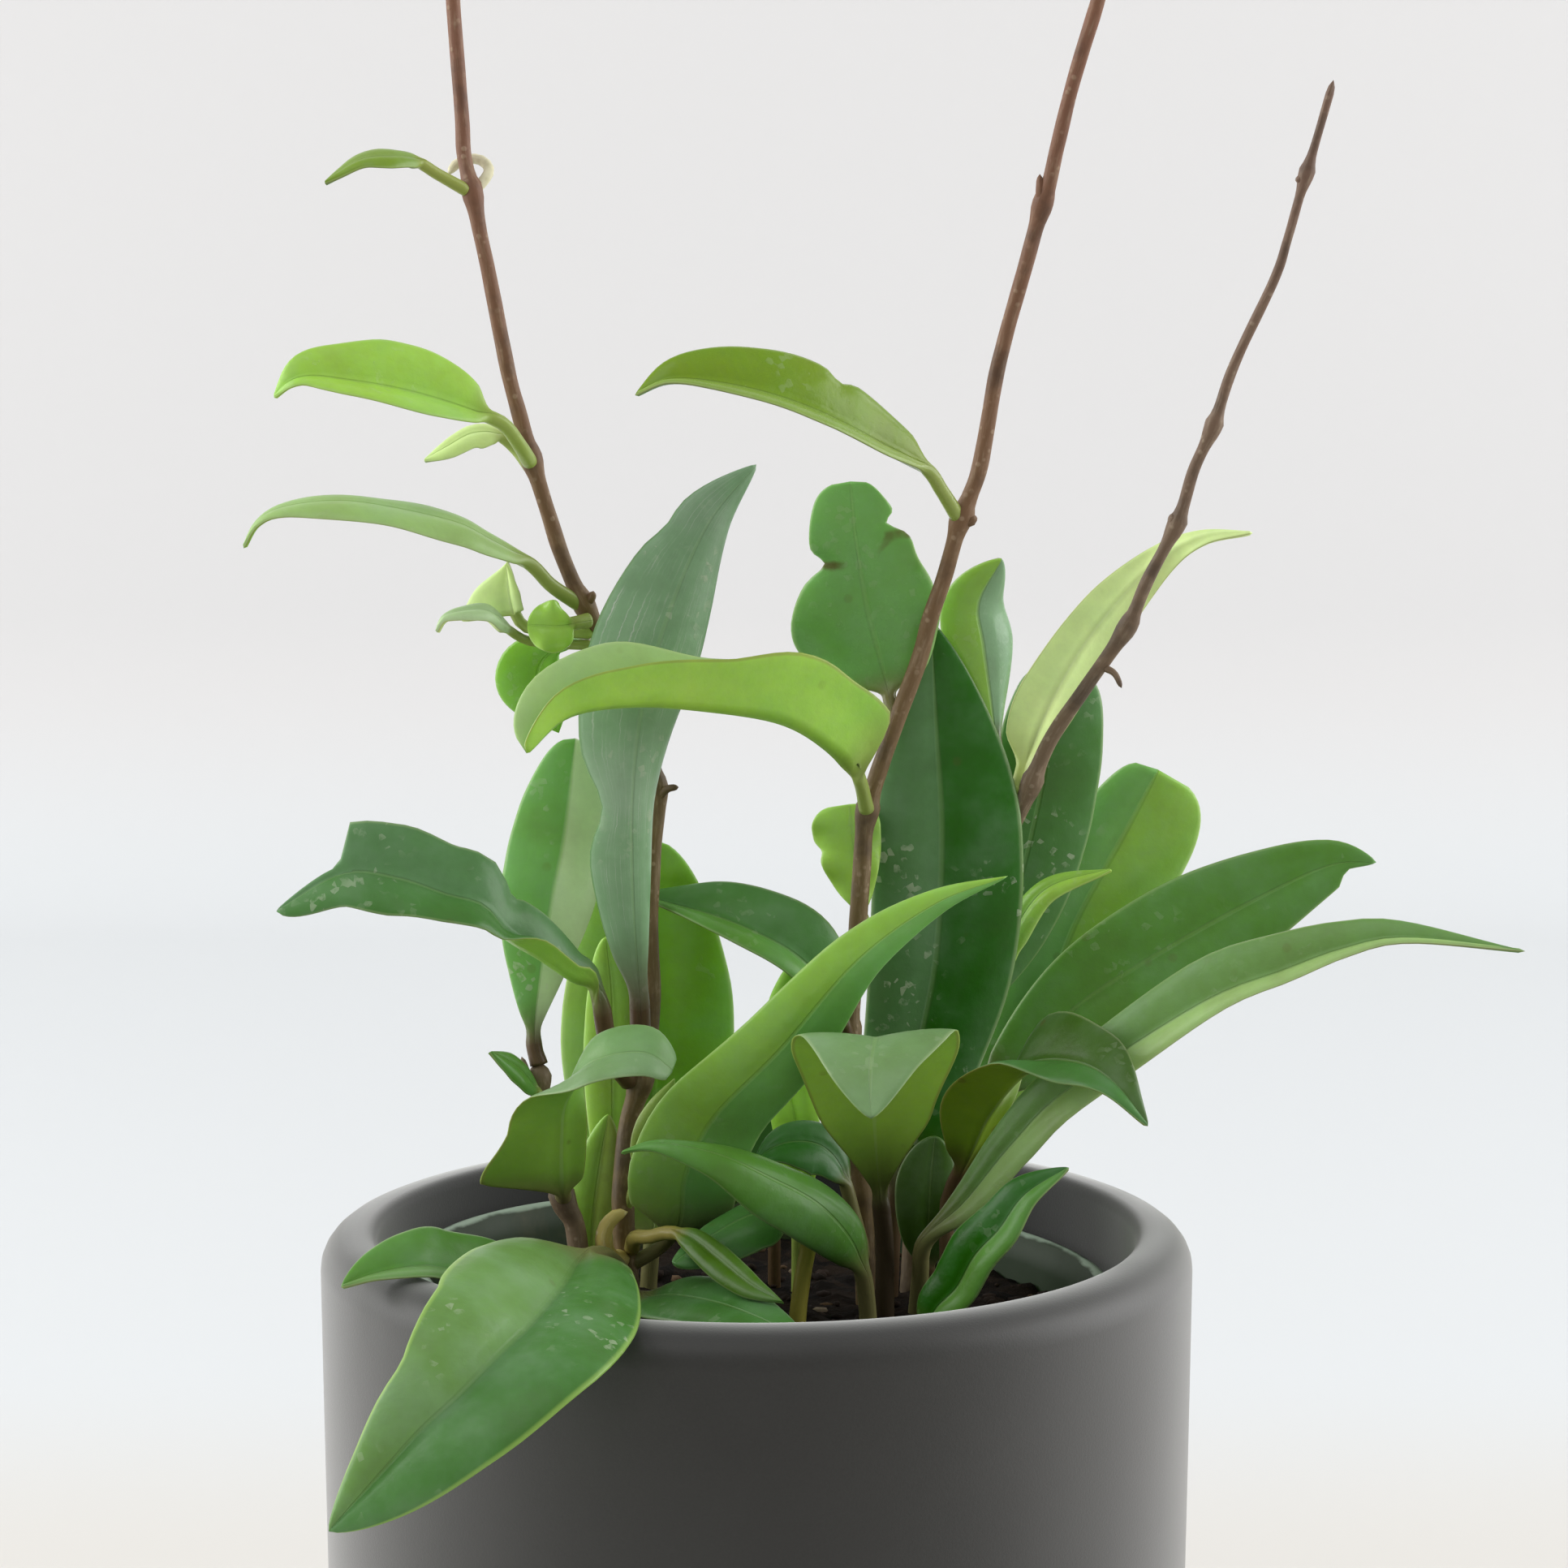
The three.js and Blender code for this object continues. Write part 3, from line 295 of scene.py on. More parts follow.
# leaves
# the half greens hold painted sheen as well as the leaves' own tones
greens = {
    "bottle": "#1f6204", "forest": "#395c17", "ivy": "#446d00", "moss": "#447834", "leaf": "#568c35",
    "sea": "#53804c", "olive": "#759426", "fern": "#67914b", "meadow": "#6faa32", "sage": "#6f925c",
    "grass": "#6ca851", "willow": "#84a046", "clover": "#7cbb38", "apple": "#89bb49", "mist": "#7fa67c",
    "lettuce": "#9ecf51", "pear": "#9abe73", "lime": "#c0ff58", "silver": "#b6d29e", "butter": "#d9f2a1",
}
stalks = {
    "dark": "#57452f", "deep": "#54422f", "middle": "#77744a", "fresh": "#8a9a4e", "lime": "#93a850",
    "pale": "#a3b562",
}
leafLook = {  # what a leaf may change
    "rib": "#9dbb72", "ribs": 0.12, "margin": "#c3d09c", "margins": 0.2, "wax": "#a9b8a2", "waxed": 0.08,
    "streak": "#b9c4b4", "fleck": "#b4c0a6", "hem": "#8a7a48", "scar": "#5d4a26", "crease": -1.0,
    "slope": 0.0, "reach": 0.16, "flecks": 0.12, "scratches": 0.0, "spots": 0.1, "clouds": 0.3,
    "deepen": 0.0, "rough": 0.36,
}


def lighter(shown, share):  # darker where the share is below 0
    return (*[blend(c, 1, share) if share > 0 else c * (1 + share) for c in shown[:3]], 1)


def leafPaint(name, look):
    paint = Paint(name, Coat_Weight=0.09, Coat_Roughness=0.2, Specular_IOR_Level=0.24)
    u, v, _ = paint.surfacePlace()
    place = paint.objectPlace()
    turn = u * (2 * math.pi)
    across = -paint.maths("COSINE", turn)  # -1 and 1 at the edges, 0 on the midrib
    upper = paint.step(paint.maths("SINE", turn), -0.03, 0.03)
    out = paint.maths("ABSOLUTE", across)
    clouds = paint.grain(place, 55, 4, 0.6)
    mottle = paint.grain(place, 190, 5, 0.65)
    fine = paint.grain(place, 800, 4, 0.6)
    worn = paint.step(paint.grain(place, 44, 3, 0.6), 0.48, 0.6)
    chips = paint.parts(paint.cells(place, 900, out="Color"))[0]
    flecked = paint.step(chips, 0.84, 0.9) * paint.step(mottle, 0.44, 0.54) * worn
    streaky = paint.grain(paint.joined(across * 26 + fine * 2, v * 2.4, 0.0), 1.0, 4, 0.7)
    streaks = paint.step(streaky, 0.54, 0.7) * paint.step(clouds, 0.36, 0.58)
    pits = paint.cells(place, 150)
    spots = paint.step(pits, 0.16, 0.08) * paint.step(paint.grain(place, 36, 2), 0.52, 0.6)
    rib = paint.step(out, 0.055, 0.015)
    edge = paint.step(out, 0.94, 0.985)
    slant = paint.step(across, 0.1, 0.75) * look["slope"]
    fromScar = paint.maths("ABSOLUTE", v + (mottle - 0.5) * 0.06 - slant - look["crease"])
    scar = paint.step(fromScar, 0.03, 0.006) * paint.step(out, 0.25, 0.7) * paint.step(clouds, 0.36, 0.5)

    # greens of the left half, the right half and the underside; a paler half is partly the leaf's own tone
    # and partly painted sheen, light reflected off that side of the fold
    left, right, under = (colour(greens[shade]) for shade in look["shades"].split())
    halfToneAndSheen = paint.step(across, -0.07, 0.07)
    top = paint.mix(halfToneAndSheen, left, right)
    dim = paint.mix(halfToneAndSheen, lighter(left, -0.4), lighter(right, -0.4))
    top = paint.mix(paint.step(clouds, 0.5, 0.3) * look["clouds"], top, dim)
    # pale grey-green patches: partly wax bloom, partly painted sheen
    top = paint.mix(paint.step(clouds, 0.4, 0.75) * look["waxed"] * 2, top, colour(look["wax"]))
    top = paint.mix(rib * look["ribs"], top, colour(look["rib"]))
    top = paint.mix(streaks * look["scratches"], top, colour(look["streak"]))
    top = paint.mix(flecked * look["flecks"], top, colour(look["fleck"]))
    low = paint.mix(paint.step(clouds, 0.35, 0.7) * look["clouds"], under, lighter(under, -0.3))
    low = paint.mix(rib * 0.3, low, lighter(under, 0.2))
    low = paint.mix(edge * 0.5, low, colour(look["hem"]))
    shown = paint.mix(upper, low, top)
    shown = paint.node("HueSaturation", {}, {
        "Hue": clouds * 0.05 + 0.475, "Saturation": fine * 0.1 + 0.95,
        "Value": mottle * 0.3 + fine * 0.1 + v * (0.06 - look["deepen"]) + (0.78 + look["deepen"] / 3),
        "Color": shown,
    }, "Color")
    shown = paint.mix(edge * upper * look["margins"], shown, colour(look["margin"]))
    shown = paint.mix(spots * look["spots"] * 2 + scar * 0.8, shown, colour(look["scar"]))
    shown = paint.mix(paint.step(v, look["reach"], -0.02), shown, colour(look["stalk"]))
    rough = clouds * 0.2 + flecked * 0.2 + fine * 0.1 + (look["rough"] - 0.14)
    height = clouds * 1.6 + mottle * 0.5 + fine * 0.16 + flecked * 0.15 - rib * 0.6 * upper
    return paint.finish(Base_Color=shown, Roughness=rough, Normal=paint.bump(height, 0.0004, 0.6))


leafGrid = {"around": 32, "stalkRows": 10, "bladeRows": 48}
blade = {  # thickness at the edge and along the middle, softness of the fold, slight unevenness
    "edge": 0.8, "middle": 1.5, "fold": 0.02, "foldFoot": 0.1414, "foldReach": 0.8686,
    "uneven": 0.025, "ripple": 0.35,
}


def breadth(leaf, v):
    belly, base, tip = leaf.get("belly", 0.42), leaf.get("base", 0.6), leaf.get("tip", 1.05)
    if v < belly:
        return max(1 - (1 - v / belly) ** 2, 0) ** base
    return max(1 - ((v - belly) / (1 - belly)) ** 2, 0) ** tip


def along(rows, v):
    place = min(max(v, 0), 1) * (len(rows) - 1)
    i = min(int(place), len(rows) - 2)
    if len(rows) == 1:
        return Vector(rows[0])
    return Vector(rows[i]).lerp(Vector(rows[i + 1]), smooth(place - i, 0, 1))


def leafSkin(leaf, seed):
    path = Path(leaf["line"])
    stalkShare = leaf.get("stalk", 6) / path.length
    radius = leaf.get("radius", 1.2)
    rows = leafGrid["stalkRows"] + leafGrid["bladeRows"]
    stations = []
    for j in range(rows + 1):
        if j <= leafGrid["stalkRows"]:
            v = j / leafGrid["stalkRows"] - 1
            share = stalkShare * (v + 1)
        else:
            t = (j - leafGrid["stalkRows"]) / leafGrid["bladeRows"]
            v = 0.4 * t + 0.6 * (1 - math.cos(math.pi * t)) / 2
            share = stalkShare + (1 - stalkShare) * v
        heading = path.heading(share)
        left, right = along(leaf["left"], v), along(leaf["right"], v)
        left -= heading * left.dot(heading)
        right -= heading * right.dot(heading)
        span = (right - left) / 2
        side = span.normalized()
        stations.append({
            "v": v, "centre": path.at(share), "span": span, "fold": (right + left) / 2, "side": side,
            "up": side.cross(heading), "upLeft": heading.cross(left).normalized(),
            "upRight": right.cross(heading).normalized(), "width": breadth(leaf, max(v, 0)),
        })

    def place(u, j):
        here = stations[j]
        v, a, rise = here["v"], -math.cos(2 * math.pi * u), math.sin(2 * math.pi * u)
        if j == 0 or j == rows:
            return here["centre"].copy()
        flesh = radius * (1.12 - 0.12 * smooth(v, -1, -0.3))
        stalk = here["centre"] + here["side"] * (a * flesh) + here["up"] * (rise * flesh)
        if v <= 0:
            return stalk
        wide = max(here["width"], 0.02)
        for where, which, depth, reach in leaf.get("notches", []):
            if a * which > 0:
                wide *= 1 - depth * math.exp(-((v - where) / reach) ** 2)
        for where, which, depth in leaf.get("cuts", []):
            if a * which > 0:
                wide *= 1 - depth * smooth(v, where, where + 0.03)
        wide *= 1 + blade["uneven"] * noise.noise((v * 7, 3.0 if a > 0 else 9.0, seed))
        crease = (math.sqrt(a * a + blade["fold"]) - blade["foldFoot"]) / blade["foldReach"]
        normal = here["up"].lerp(here["upRight"] if a > 0 else here["upLeft"], smooth(abs(a), 0, 0.3))
        flat = here["centre"] + here["span"] * (a * wide) + here["fold"] * (crease * wide)
        swell = leaf.get("bulge", 0.5) * wide * 4 * abs(a) * (1 - abs(a))
        turns = leaf.get("waves", 2.5) * v + (0.3 if a > 0 else 0)
        wave = leaf.get("wave", 0) * a * a * wide * math.sin(2 * math.pi * turns)
        wave += blade["ripple"] * a * a * wide * noise.noise((v * 4, 20.0 if a > 0 else 30.0, seed))
        deep = blend(blade["middle"] * (0.55 + 0.45 * wide), blade["edge"], abs(a)) / 2
        deep *= math.sqrt(max(1 - abs(a) ** 8, 0))
        groove = 0.3 * math.exp(-(a * 9) ** 2) * (1 - v)
        keel = math.exp(-(a * 7) ** 2) * (0.35 * (1 - v) + 0.8 * math.exp(-v / 0.2))
        lift = deep - groove if rise > 0 else -deep - keel
        flat += normal * (swell + wave + lift)
        return stalk.lerp(flat, smooth(v, 0, 0.09))

    return wrapGrid(leafGrid["around"], rows, place, lambda j: stations[j]["v"])


leaves = [
    {
        "name": "left_1", "kind": "middle", "stalk": 10, "radius": 1, "shades": "olive willow sage",
        "look": {"stalk": "#8f9a4a"},
        "line": [
            (-48, 4.6, 312), (-53.3, 2, 315.2), (-56.8, 0, 317.4), (-61.1, -3, 317.9), (-65.7, -5, 317.4),
            (-71.5, -8, 314.2),
        ],
        "left": [(0, -3.6, -1.2)], "right": [(0, 3.6, 1.2)],
    },
    {
        "name": "left_2", "kind": "lime", "stalk": 15, "belly": 0.4, "tip": 0.85,
        "shades": "lettuce lettuce lettuce",
        "line": [
            (-38, 4, 266), (-39.8, -2, 270.1), (-42.6, -5, 274.1), (-47.7, -7, 276.2), (-54.3, -9, 278.4),
            (-60.9, -11, 280.2), (-67.5, -13, 281.5), (-73.5, -14, 282.4), (-76.8, -15, 281.8),
            (-79.8, -15, 279.2),
        ],
        "left": [(0, -6.5, -1.8)], "right": [(0, 4, 8)],
    },
    {
        "name": "left_3", "kind": "pale", "stalk": 8, "radius": 0.9, "shades": "butter butter silver",
        "line": [
            (-38, 4, 265), (-41, 6, 268.6), (-44, 5, 271), (-48, 4, 271), (-52, 2, 269), (-56, 1, 267),
        ],
        "left": [(0, -3, -2.2)], "right": [(0, 3, 1.4)],
    },
    {
        "name": "left_4", "kind": "fresh", "stalk": 13, "wave": 0.4, "shades": "pear pear apple",
        "line": [
            (-29.4, 6, 241.6), (-34.7, 3, 245.6), (-38.4, 0, 249.8), (-45.3, -4, 254.2), (-50.6, -6, 257),
            (-61.3, -9, 259.8), (-69.9, -11, 261.1), (-78.6, -12.5, 260.3), (-82.9, -13.5, 258.1),
            (-85.3, -14, 254),
        ],
        "left": [(0, -6, -2.3)], "right": [(0, 6, 0.7)],
    },
    {
        "name": "left_5", "kind": "pale", "stalk": 15.4, "radius": 1, "belly": 0.12, "base": 0.3,
        "tip": 1.1, "shades": "butter butter silver",
        "line": [
            (-27, 6, 237), (-33.5, 6.2, 237.5), (-38.2, 5.4, 237.9), (-40.5, 5, 239.5), (-41.7, 4.6, 243.6),
            (-42.3, 5, 249.5),
        ],
        "left": [(-9.8, 1, 0), (-8, 1, 0), (-6, 1, 0)], "right": [(1.8, -2, 0), (1.8, -1.6, 0)],
    },
    {
        "name": "left_6", "kind": "fresh", "stalk": 17, "radius": 0.8, "shades": "silver silver butter",
        "line": [
            (-27, 4.8, 235.2), (-33, 6.2, 235.2), (-39, 6.2, 235.8), (-42.8, 1.8, 238.8),
            (-45.6, -2.4, 241.4), (-49.1, -5, 241.8), (-52.3, -6, 241.1), (-53.7, -6.5, 238.9),
        ],
        "left": [(0, -3, -0.8)], "right": [(0, 3, 0.8)],
    },
    {
        "name": "left_7", "kind": "middle", "stalk": 4, "belly": 0.45, "shades": "clover clover grass",
        "look": {"rough": 0.24},
        "line": [(-26, 7, 235), (-30, 11, 235), (-35.5, 12, 233), (-37.6, 12, 228), (-34, 12, 219)],
        "left": [(7, 0, 2)], "right": [(-7.6, 0, -1)],
    },
    {
        "name": "left_8", "kind": "fresh", "stalk": 4, "tip": 0.5, "wave": 0.6, "waves": 2,
        "shades": "lettuce lettuce apple", "look": {"rough": 0.22},
        "line": [(-28.4, 4, 239.6), (-31, 1.4, 239.4), (-33.4, 0.4, 239), (-38.8, 0.4, 239.2)],
        "left": [(0, -1, -4.4)], "right": [(0, 1, 4.4)],
    },
    {
        "name": "left_9", "kind": "deep", "stalk": 11, "radius": 1.8, "belly": 0.56, "tip": 0.85,
        "shades": "mist mist meadow",
        "look": {
            # the dark green margin here is painted shade on the edge that turns away from the light
            "scratches": 1.0, "waxed": 0.2, "flecks": 0.6, "deepen": 0.4, "margin": "#4c7734",
            "margins": 0.7,
        },
        "line": [
            (-20, 2, 163), (-20, -1, 175), (-21, -6, 194), (-21, -9, 212), (-19, -8, 228), (-14, -4, 244),
            (-8, 0, 257), (0, 6, 266),
        ],
        "left": [(-8, 1, 0), (-9, 1, 0), (-11.5, 1, 1), (-9, 0, 5)],
        "right": [(4, 2, 0), (4, 5, 0), (8, 5, -1), (6, 5, -4)],
        "notches": [(0.36, -1, 0.42, 0.06), (0.83, -1, 0.14, 0.03)],
    },
    {
        "name": "left_10", "kind": "dark", "stalk": 18, "radius": 1.6, "belly": 0.62, "tip": 0.6,
        "shades": "moss sea apple", "look": {"flecks": 0.35, "waxed": 0.08},
        "line": [
            (-21, 2, 159), (-25, -3, 166), (-27, -8, 178), (-31, -11, 181), (-36, -14, 185),
            (-42, -16, 189), (-46, -18, 194), (-52, -19, 196), (-60, -20, 199), (-69, -21, 200),
            (-80, -22, 194),
        ],
        "left": [(-1, -3, 5), (-1, -4, 5.4), (0, -6, -3), (0, -5, -6), (0, -4, -8)],
        "right": [(0, 5, 6), (0, 5, 8), (0, 4, 8.4), (0, 3, 9.4), (0, 3, 11)], "cuts": [(0.79, 1, 0.8)],
    },
    {
        "name": "left_11", "kind": "middle", "stalk": 9, "belly": 0.16, "base": 0.42, "tip": 0.85,
        "shades": "apple grass meadow", "look": {"deepen": -0.15},
        "line": [
            (-22, 0, 128), (-16, -1, 132), (-13, -6, 138), (-12, -10, 147), (-7, -11, 157), (4, -14, 169),
            (17, -18, 185), (30, -20, 195), (42, -22, 200),
        ],
        "left": [(-10, 0, 0), (-9, 0, 3), (-6, 0, 5.5), (-4.4, 1, 6), (-2, 1, 5)],
        "right": [(10, 2, 0), (9, 3, -3), (6, 3, -6), (3.4, 2, -5.4), (2, 1, -5)],
    },
    {
        "name": "left_12", "kind": "middle", "stalk": 20, "belly": 0.45, "shades": "ivy ivy moss",
        "look": {"stalk": "#968b48"},
        "line": [
            (-21.6, 0, 130.4), (-20.8, -7, 134.6), (-18.2, -11, 135.7), (-14.7, -15, 137.4),
            (-10.9, -19, 137.3), (-6.4, -24, 134.8), (-0.9, -30, 131.8), (4.7, -35, 130.2),
        ],
        "left": [(1.2, 1.2, 2.2)], "right": [(-1.6, -2, -2.2)],
    },
    {
        "name": "left_13", "kind": "middle", "stalk": 34, "radius": 1.6, "belly": 0.38, "base": 0.2,
        "tip": 0.75, "bulge": 1.6, "shades": "moss fern grass",
        "look": {"flecks": 0.4, "waxed": 0.1, "ribs": 0.05, "margin": "#a4c860", "margins": 0.5},
        "line": [
            (-22, -1, 125.2), (-25.5, -22, 135), (-29, -38, 137.9), (-31.4, -60, 138.6), (-36, -78, 136.8),
            (-40.4, -86, 134.2), (-46.5, -92, 129.2), (-52, -95, 124.8), (-58.1, -97, 118.5),
            (-66.4, -98, 109.4),
        ],
        "left": [(10, -3, -0.6), (13.8, -9.4, -4), (14.4, -8, -8.2)],
        "right": [(-14, 0, 4.6), (-15, 1, 7.6), (-8, 2, 7)],
    },
    {
        "name": "left_14", "kind": "middle", "stalk": 9, "belly": 0.3, "tip": 0.8,
        "shades": "moss moss grass",
        "line": [(-22, 0, 122.6), (-18, -11, 125), (-13, -19, 127), (-4, -31, 128), (8, -45, 126.5)],
        "left": [(4, 6, 2.4)], "right": [(-5, -5, -2.4)],
    },
    {
        "name": "left_15", "kind": "fresh", "stalk": 10, "radius": 0.8, "shades": "willow willow sage",
        "line": [(-23, 0, 136), (-20, -3, 146), (-17, -5, 155), (-14, -5, 162)],
        "left": [(-3, 0, 1)], "right": [(3, 1, -1)],
    },
    {
        "name": "left_16", "kind": "lime", "stalk": 16, "belly": 0.6, "tip": 0.6,
        "shades": "lettuce apple apple",
        "line": [
            (-22, 0, 123), (-24, 5, 130), (-25, 8, 140), (-25, 9, 150), (-25, 10, 163), (-25, 10, 174),
            (-26, 9, 184),
        ],
        "left": [(-5, 0, 0)], "right": [(6, 0, 0)],
    },
    {
        "name": "mid_1", "kind": "fresh", "stalk": 12, "belly": 0.48, "tip": 0.9,
        "shades": "willow olive sage", "look": {"rough": 0.24, "waxed": 0.0},
        "line": [
            (34.6, 4, 256.6), (31.3, 0, 262.2), (28.4, -3, 266.3), (20.9, -7, 270.5), (12, -11, 275.4),
            (2.5, -14, 279.2), (-6.9, -16, 281.5), (-14.2, -18, 282.2), (-19.9, -19, 280),
        ],
        "left": [(-1, -6.5, -0.2)], "right": [(1, 5.5, 7), (1, 5.5, 7.6), (1, 5, 8)],
        "notches": [(0.37, 1, 0.16, 0.035)],
    },
    {
        "name": "mid_2", "kind": "middle", "stalk": 5, "belly": 0.4, "tip": 0.3, "wave": 0.8, "waves": 3,
        "shades": "grass grass apple",
        "look": {"rough": 0.25, "crease": 0.63, "slope": 0.1, "deepen": -0.15},
        "line": [(23.6, 8, 221), (22, 11, 229), (19, 11, 241), (17, 9, 253), (16, 7, 263)],
        "left": [(-12, 0, -1), (-14.6, 0, 0), (-9.2, 0, 1), (-9.6, 0, 0)],
        "right": [(12.4, 0, 0), (12.6, 0, 0), (10.5, 0, 0), (7.8, 0, 0)],
        "notches": [(0.635, -1, 0.3, 0.05), (0.79, 1, 0.33, 0.04)],
    },
    {
        "name": "mid_3", "kind": "fresh", "stalk": 9, "belly": 0.15, "base": 0.26, "tip": 0.42,
        "shades": "pear pear lettuce",
        "line": [
            (19, 7, 206), (17, 0, 214), (12, -6, 220), (4, -11, 225), (-8, -15, 227.5), (-20, -18, 228.5),
            (-31, -21, 227), (-38, -24, 221),
        ],
        "left": [(7.4, -1, 10.4), (0, -3, 14), (0, -4, 9.5), (0, -4, 8.5), (-1, -3, 8)],
        "right": [(9, 6, 9), (0, 6, 9), (0, 6, 8), (-5, 6, 12.6), (-9, 4, 11.6)],
    },
    {
        "name": "mid_4", "kind": "fresh", "stalk": 5, "belly": 0.8, "base": 1, "tip": 0.25, "wave": 1,
        "shades": "lettuce lettuce apple",
        "line": [(18.4, 8.4, 183), (18, 13, 189), (17, 15, 197), (16, 16, 206)],
        "left": [(-7, 0, 0)], "right": [(5, 0, 0)], "notches": [(0.62, -1, 0.15, 0.06)],
    },
    {
        "name": "mid_5", "kind": "dark", "stalk": 6, "belly": 0.45, "base": 0.5, "shades": "leaf moss moss",
        "line": [
            (16, 8, 165), (15, 4, 169.6), (13.2, 3, 174), (9.8, 2, 178.8), (5.3, 2, 182.7),
            (-1.7, 3, 186.1), (-8.7, 5, 188.4), (-16.4, 8, 190.1), (-22, 10, 191.5),
        ],
        "left": [(-3, -4, -1.6), (-2, -5, -1.4), (0, -4, -0.6)],
        "right": [(5, 3, 3), (5, 4, 6.6), (2, 5, 7), (0, 5, 6)],
    },
    {
        "name": "right_1", "kind": "pale", "stalk": 5, "belly": 0.25, "tip": 0.8,
        "shades": "butter butter butter", "look": {"scratches": 0.5, "waxed": 0.0},
        "line": [
            (45, 20, 207), (47, 25, 213), (52, 28, 224), (59, 30, 235), (69, 30, 246), (77, 28, 251),
            (86, 26, 252),
        ],
        "left": [(4.4, 2, -2), (5, 2, -3.4), (1, -4, -3)],
        "right": [(-6.4, 0, 2.4), (-4, 0, 3.2), (-0.6, 4, 1.8)],
    },
    {
        "name": "right_2", "kind": "dark", "stalk": 14, "belly": 0.55, "tip": 0.75,
        "shades": "apple mist sage", "look": {"rough": 0.24},
        "line": [(43, 21, 202), (41, 20, 219), (39, 18, 233), (38, 17, 241), (42, 14, 249)],
        "left": [(-7, 1, 0), (-7, 1, 0), (-6, 0, 2)], "right": [(3, 5, 0), (5.6, 5, 0), (4.6, 3, -2)],
    },
    {
        "name": "right_3", "kind": "dark", "stalk": 14, "belly": 0.6, "tip": 0.2,
        "shades": "moss moss moss", "look": {"flecks": 0.5},
        "line": [
            (31, 24, 155), (38, 30, 169), (45, 32, 186), (49, 32, 202), (51.6, 32, 217), (53, 32, 227),
        ],
        "left": [(-9, 0, 2)], "right": [(10, 2, -2)],
    },
    {
        "name": "right_4", "kind": "middle", "stalk": 14, "belly": 0.6, "base": 0.45, "tip": 0.28,
        "bulge": 1, "shades": "grass apple sage", "look": {"flecks": 0.3},
        "line": [
            (28, 23, 137), (34, 34, 142), (44, 40, 154), (52, 42, 169), (57, 44, 181), (65, 44, 196),
            (71, 42, 208),
        ],
        "left": [(-9, 1, 4), (-9, 0, 4)], "right": [(9, 2, -4), (11, 2, -5), (15.2, 2, -5)],
    },
    {
        "name": "right_5", "kind": "dark", "stalk": 14, "belly": 0.5, "tip": 0.7,
        "shades": "leaf leaf sage",
        "line": [
            (29, 24, 144), (36, 29, 147), (44, 32, 155), (57, 34, 167), (73, 36, 177), (89, 36, 186),
            (101, 34, 192), (109, 32, 193),
        ],
        "left": [(-5, 2, 7), (-5, 2, 9), (-2, 2, 9.4)], "right": [(5, -3, -7), (5, -3, -8), (3, -3, -8)],
        "cuts": [(0.91, 1, 0.6)],
    },
    {
        "name": "right_6", "kind": "lime", "stalk": 8, "radius": 0.9, "shades": "apple lettuce lettuce",
        "line": [(34, 24, 168), (42, 26, 175), (45, 26, 181), (51, 26, 189), (62, 24, 193)],
        "left": [(-2, 2, 2), (0, 3, 2)], "right": [(2, -2, -2), (0, -3, -2)],
    },
    {
        "name": "right_7", "kind": "pale", "stalk": 4, "radius": 0.8, "shades": "lettuce lettuce apple",
        "line": [(32, 24, 158), (35, 23.6, 161), (37, 23.8, 165), (38.6, 24, 170)],
        "left": [(-1.8, 0, 0)], "right": [(1.8, 0, 0)],
    },
    {
        "name": "crown_1", "kind": "deep", "stalk": 24, "radius": 1.7, "belly": 0.55, "tip": 0.85,
        "bulge": 1, "shades": "sea bottle grass", "look": {"flecks": 0.55},
        "line": [
            (23, 15, 112), (23, 16, 120), (24, 17, 135), (27, 18, 157), (31, 18, 178), (32, 17, 200),
            (31, 17, 219), (30, 16, 238),
        ],
        "left": [(-12, 0, 0)], "right": [(14.5, 1, 0)],
    },
    {
        "name": "crown_2", "kind": "dark", "stalk": 27, "radius": 1.6, "belly": 0.5, "base": 1, "tip": 0.75,
        "shades": "sage sage lettuce", "look": {"spots": 0.25, "stalk": "#3a3022", "reach": 0.34},
        "line": [
            (22, -1, 112), (22, -1, 121), (22, -1, 132), (21, -3, 143), (20, -10, 157), (20, -20, 169),
            (20, -27, 173), (19, -36, 170), (19, -42, 163),
        ],
        "left": [(6, -2, 1), (11, -4, 4), (15, 0, 2), (12, -1, 2)],
        "right": [(-6, -2, 1), (-11, -4, 4), (-15, 0, 1), (-12, -1, 2)],
    },
    {
        "name": "crown_3", "kind": "dark", "stalk": 32, "radius": 1.3, "belly": 0.5, "base": 0.5,
        "tip": 0.7, "shades": "forest moss olive", "look": {"spots": 0.2},
        "line": [
            (33, 6, 112), (33, 7, 126), (33, 8, 137), (35, 6, 143), (37, 1, 149), (40, -4, 156.5),
            (45.5, -12, 165), (53, -22, 168), (59, -29, 166.5), (65, -34, 160),
        ],
        "left": [(6, 0, 0), (6, 2, 3), (4, 7, 8), (5, 5, 6), (3, 3, 3)],
        "right": [(-6, 0, 0), (-9, -1, 3), (-7, -3, 1), (-3, -5, -3), (-2, -4, -2)],
    },
    {
        "name": "crown_4", "kind": "middle", "stalk": 22, "radius": 1.5, "belly": 0.4, "tip": 1.1,
        "shades": "fern pear sage",
        "line": [
            (27.4, 7, 112), (27.8, 3.8, 119), (28.2, 0.6, 126), (29, -3, 133), (36, -7, 141),
            (44, -11, 152), (53, -15, 162), (75, -21, 178), (88, -24, 184), (98, -25, 188), (108, -26, 190),
            (128, -26, 188),
        ],
        "left": [(-3, 3, 3), (-3, 3, 4), (-3.4, 4, 7), (-1, 4, 6)],
        "right": [(4, -4.4, -2), (2.6, -5, -1.6), (1.6, -4, -0.8), (0, -3.2, -0.6)],
    },
    {
        "name": "crown_5", "kind": "middle", "stalk": 17, "radius": 1.5, "belly": 0.35, "tip": 1.1,
        "shades": "leaf leaf grass", "look": {"spots": 0.3},
        "line": [
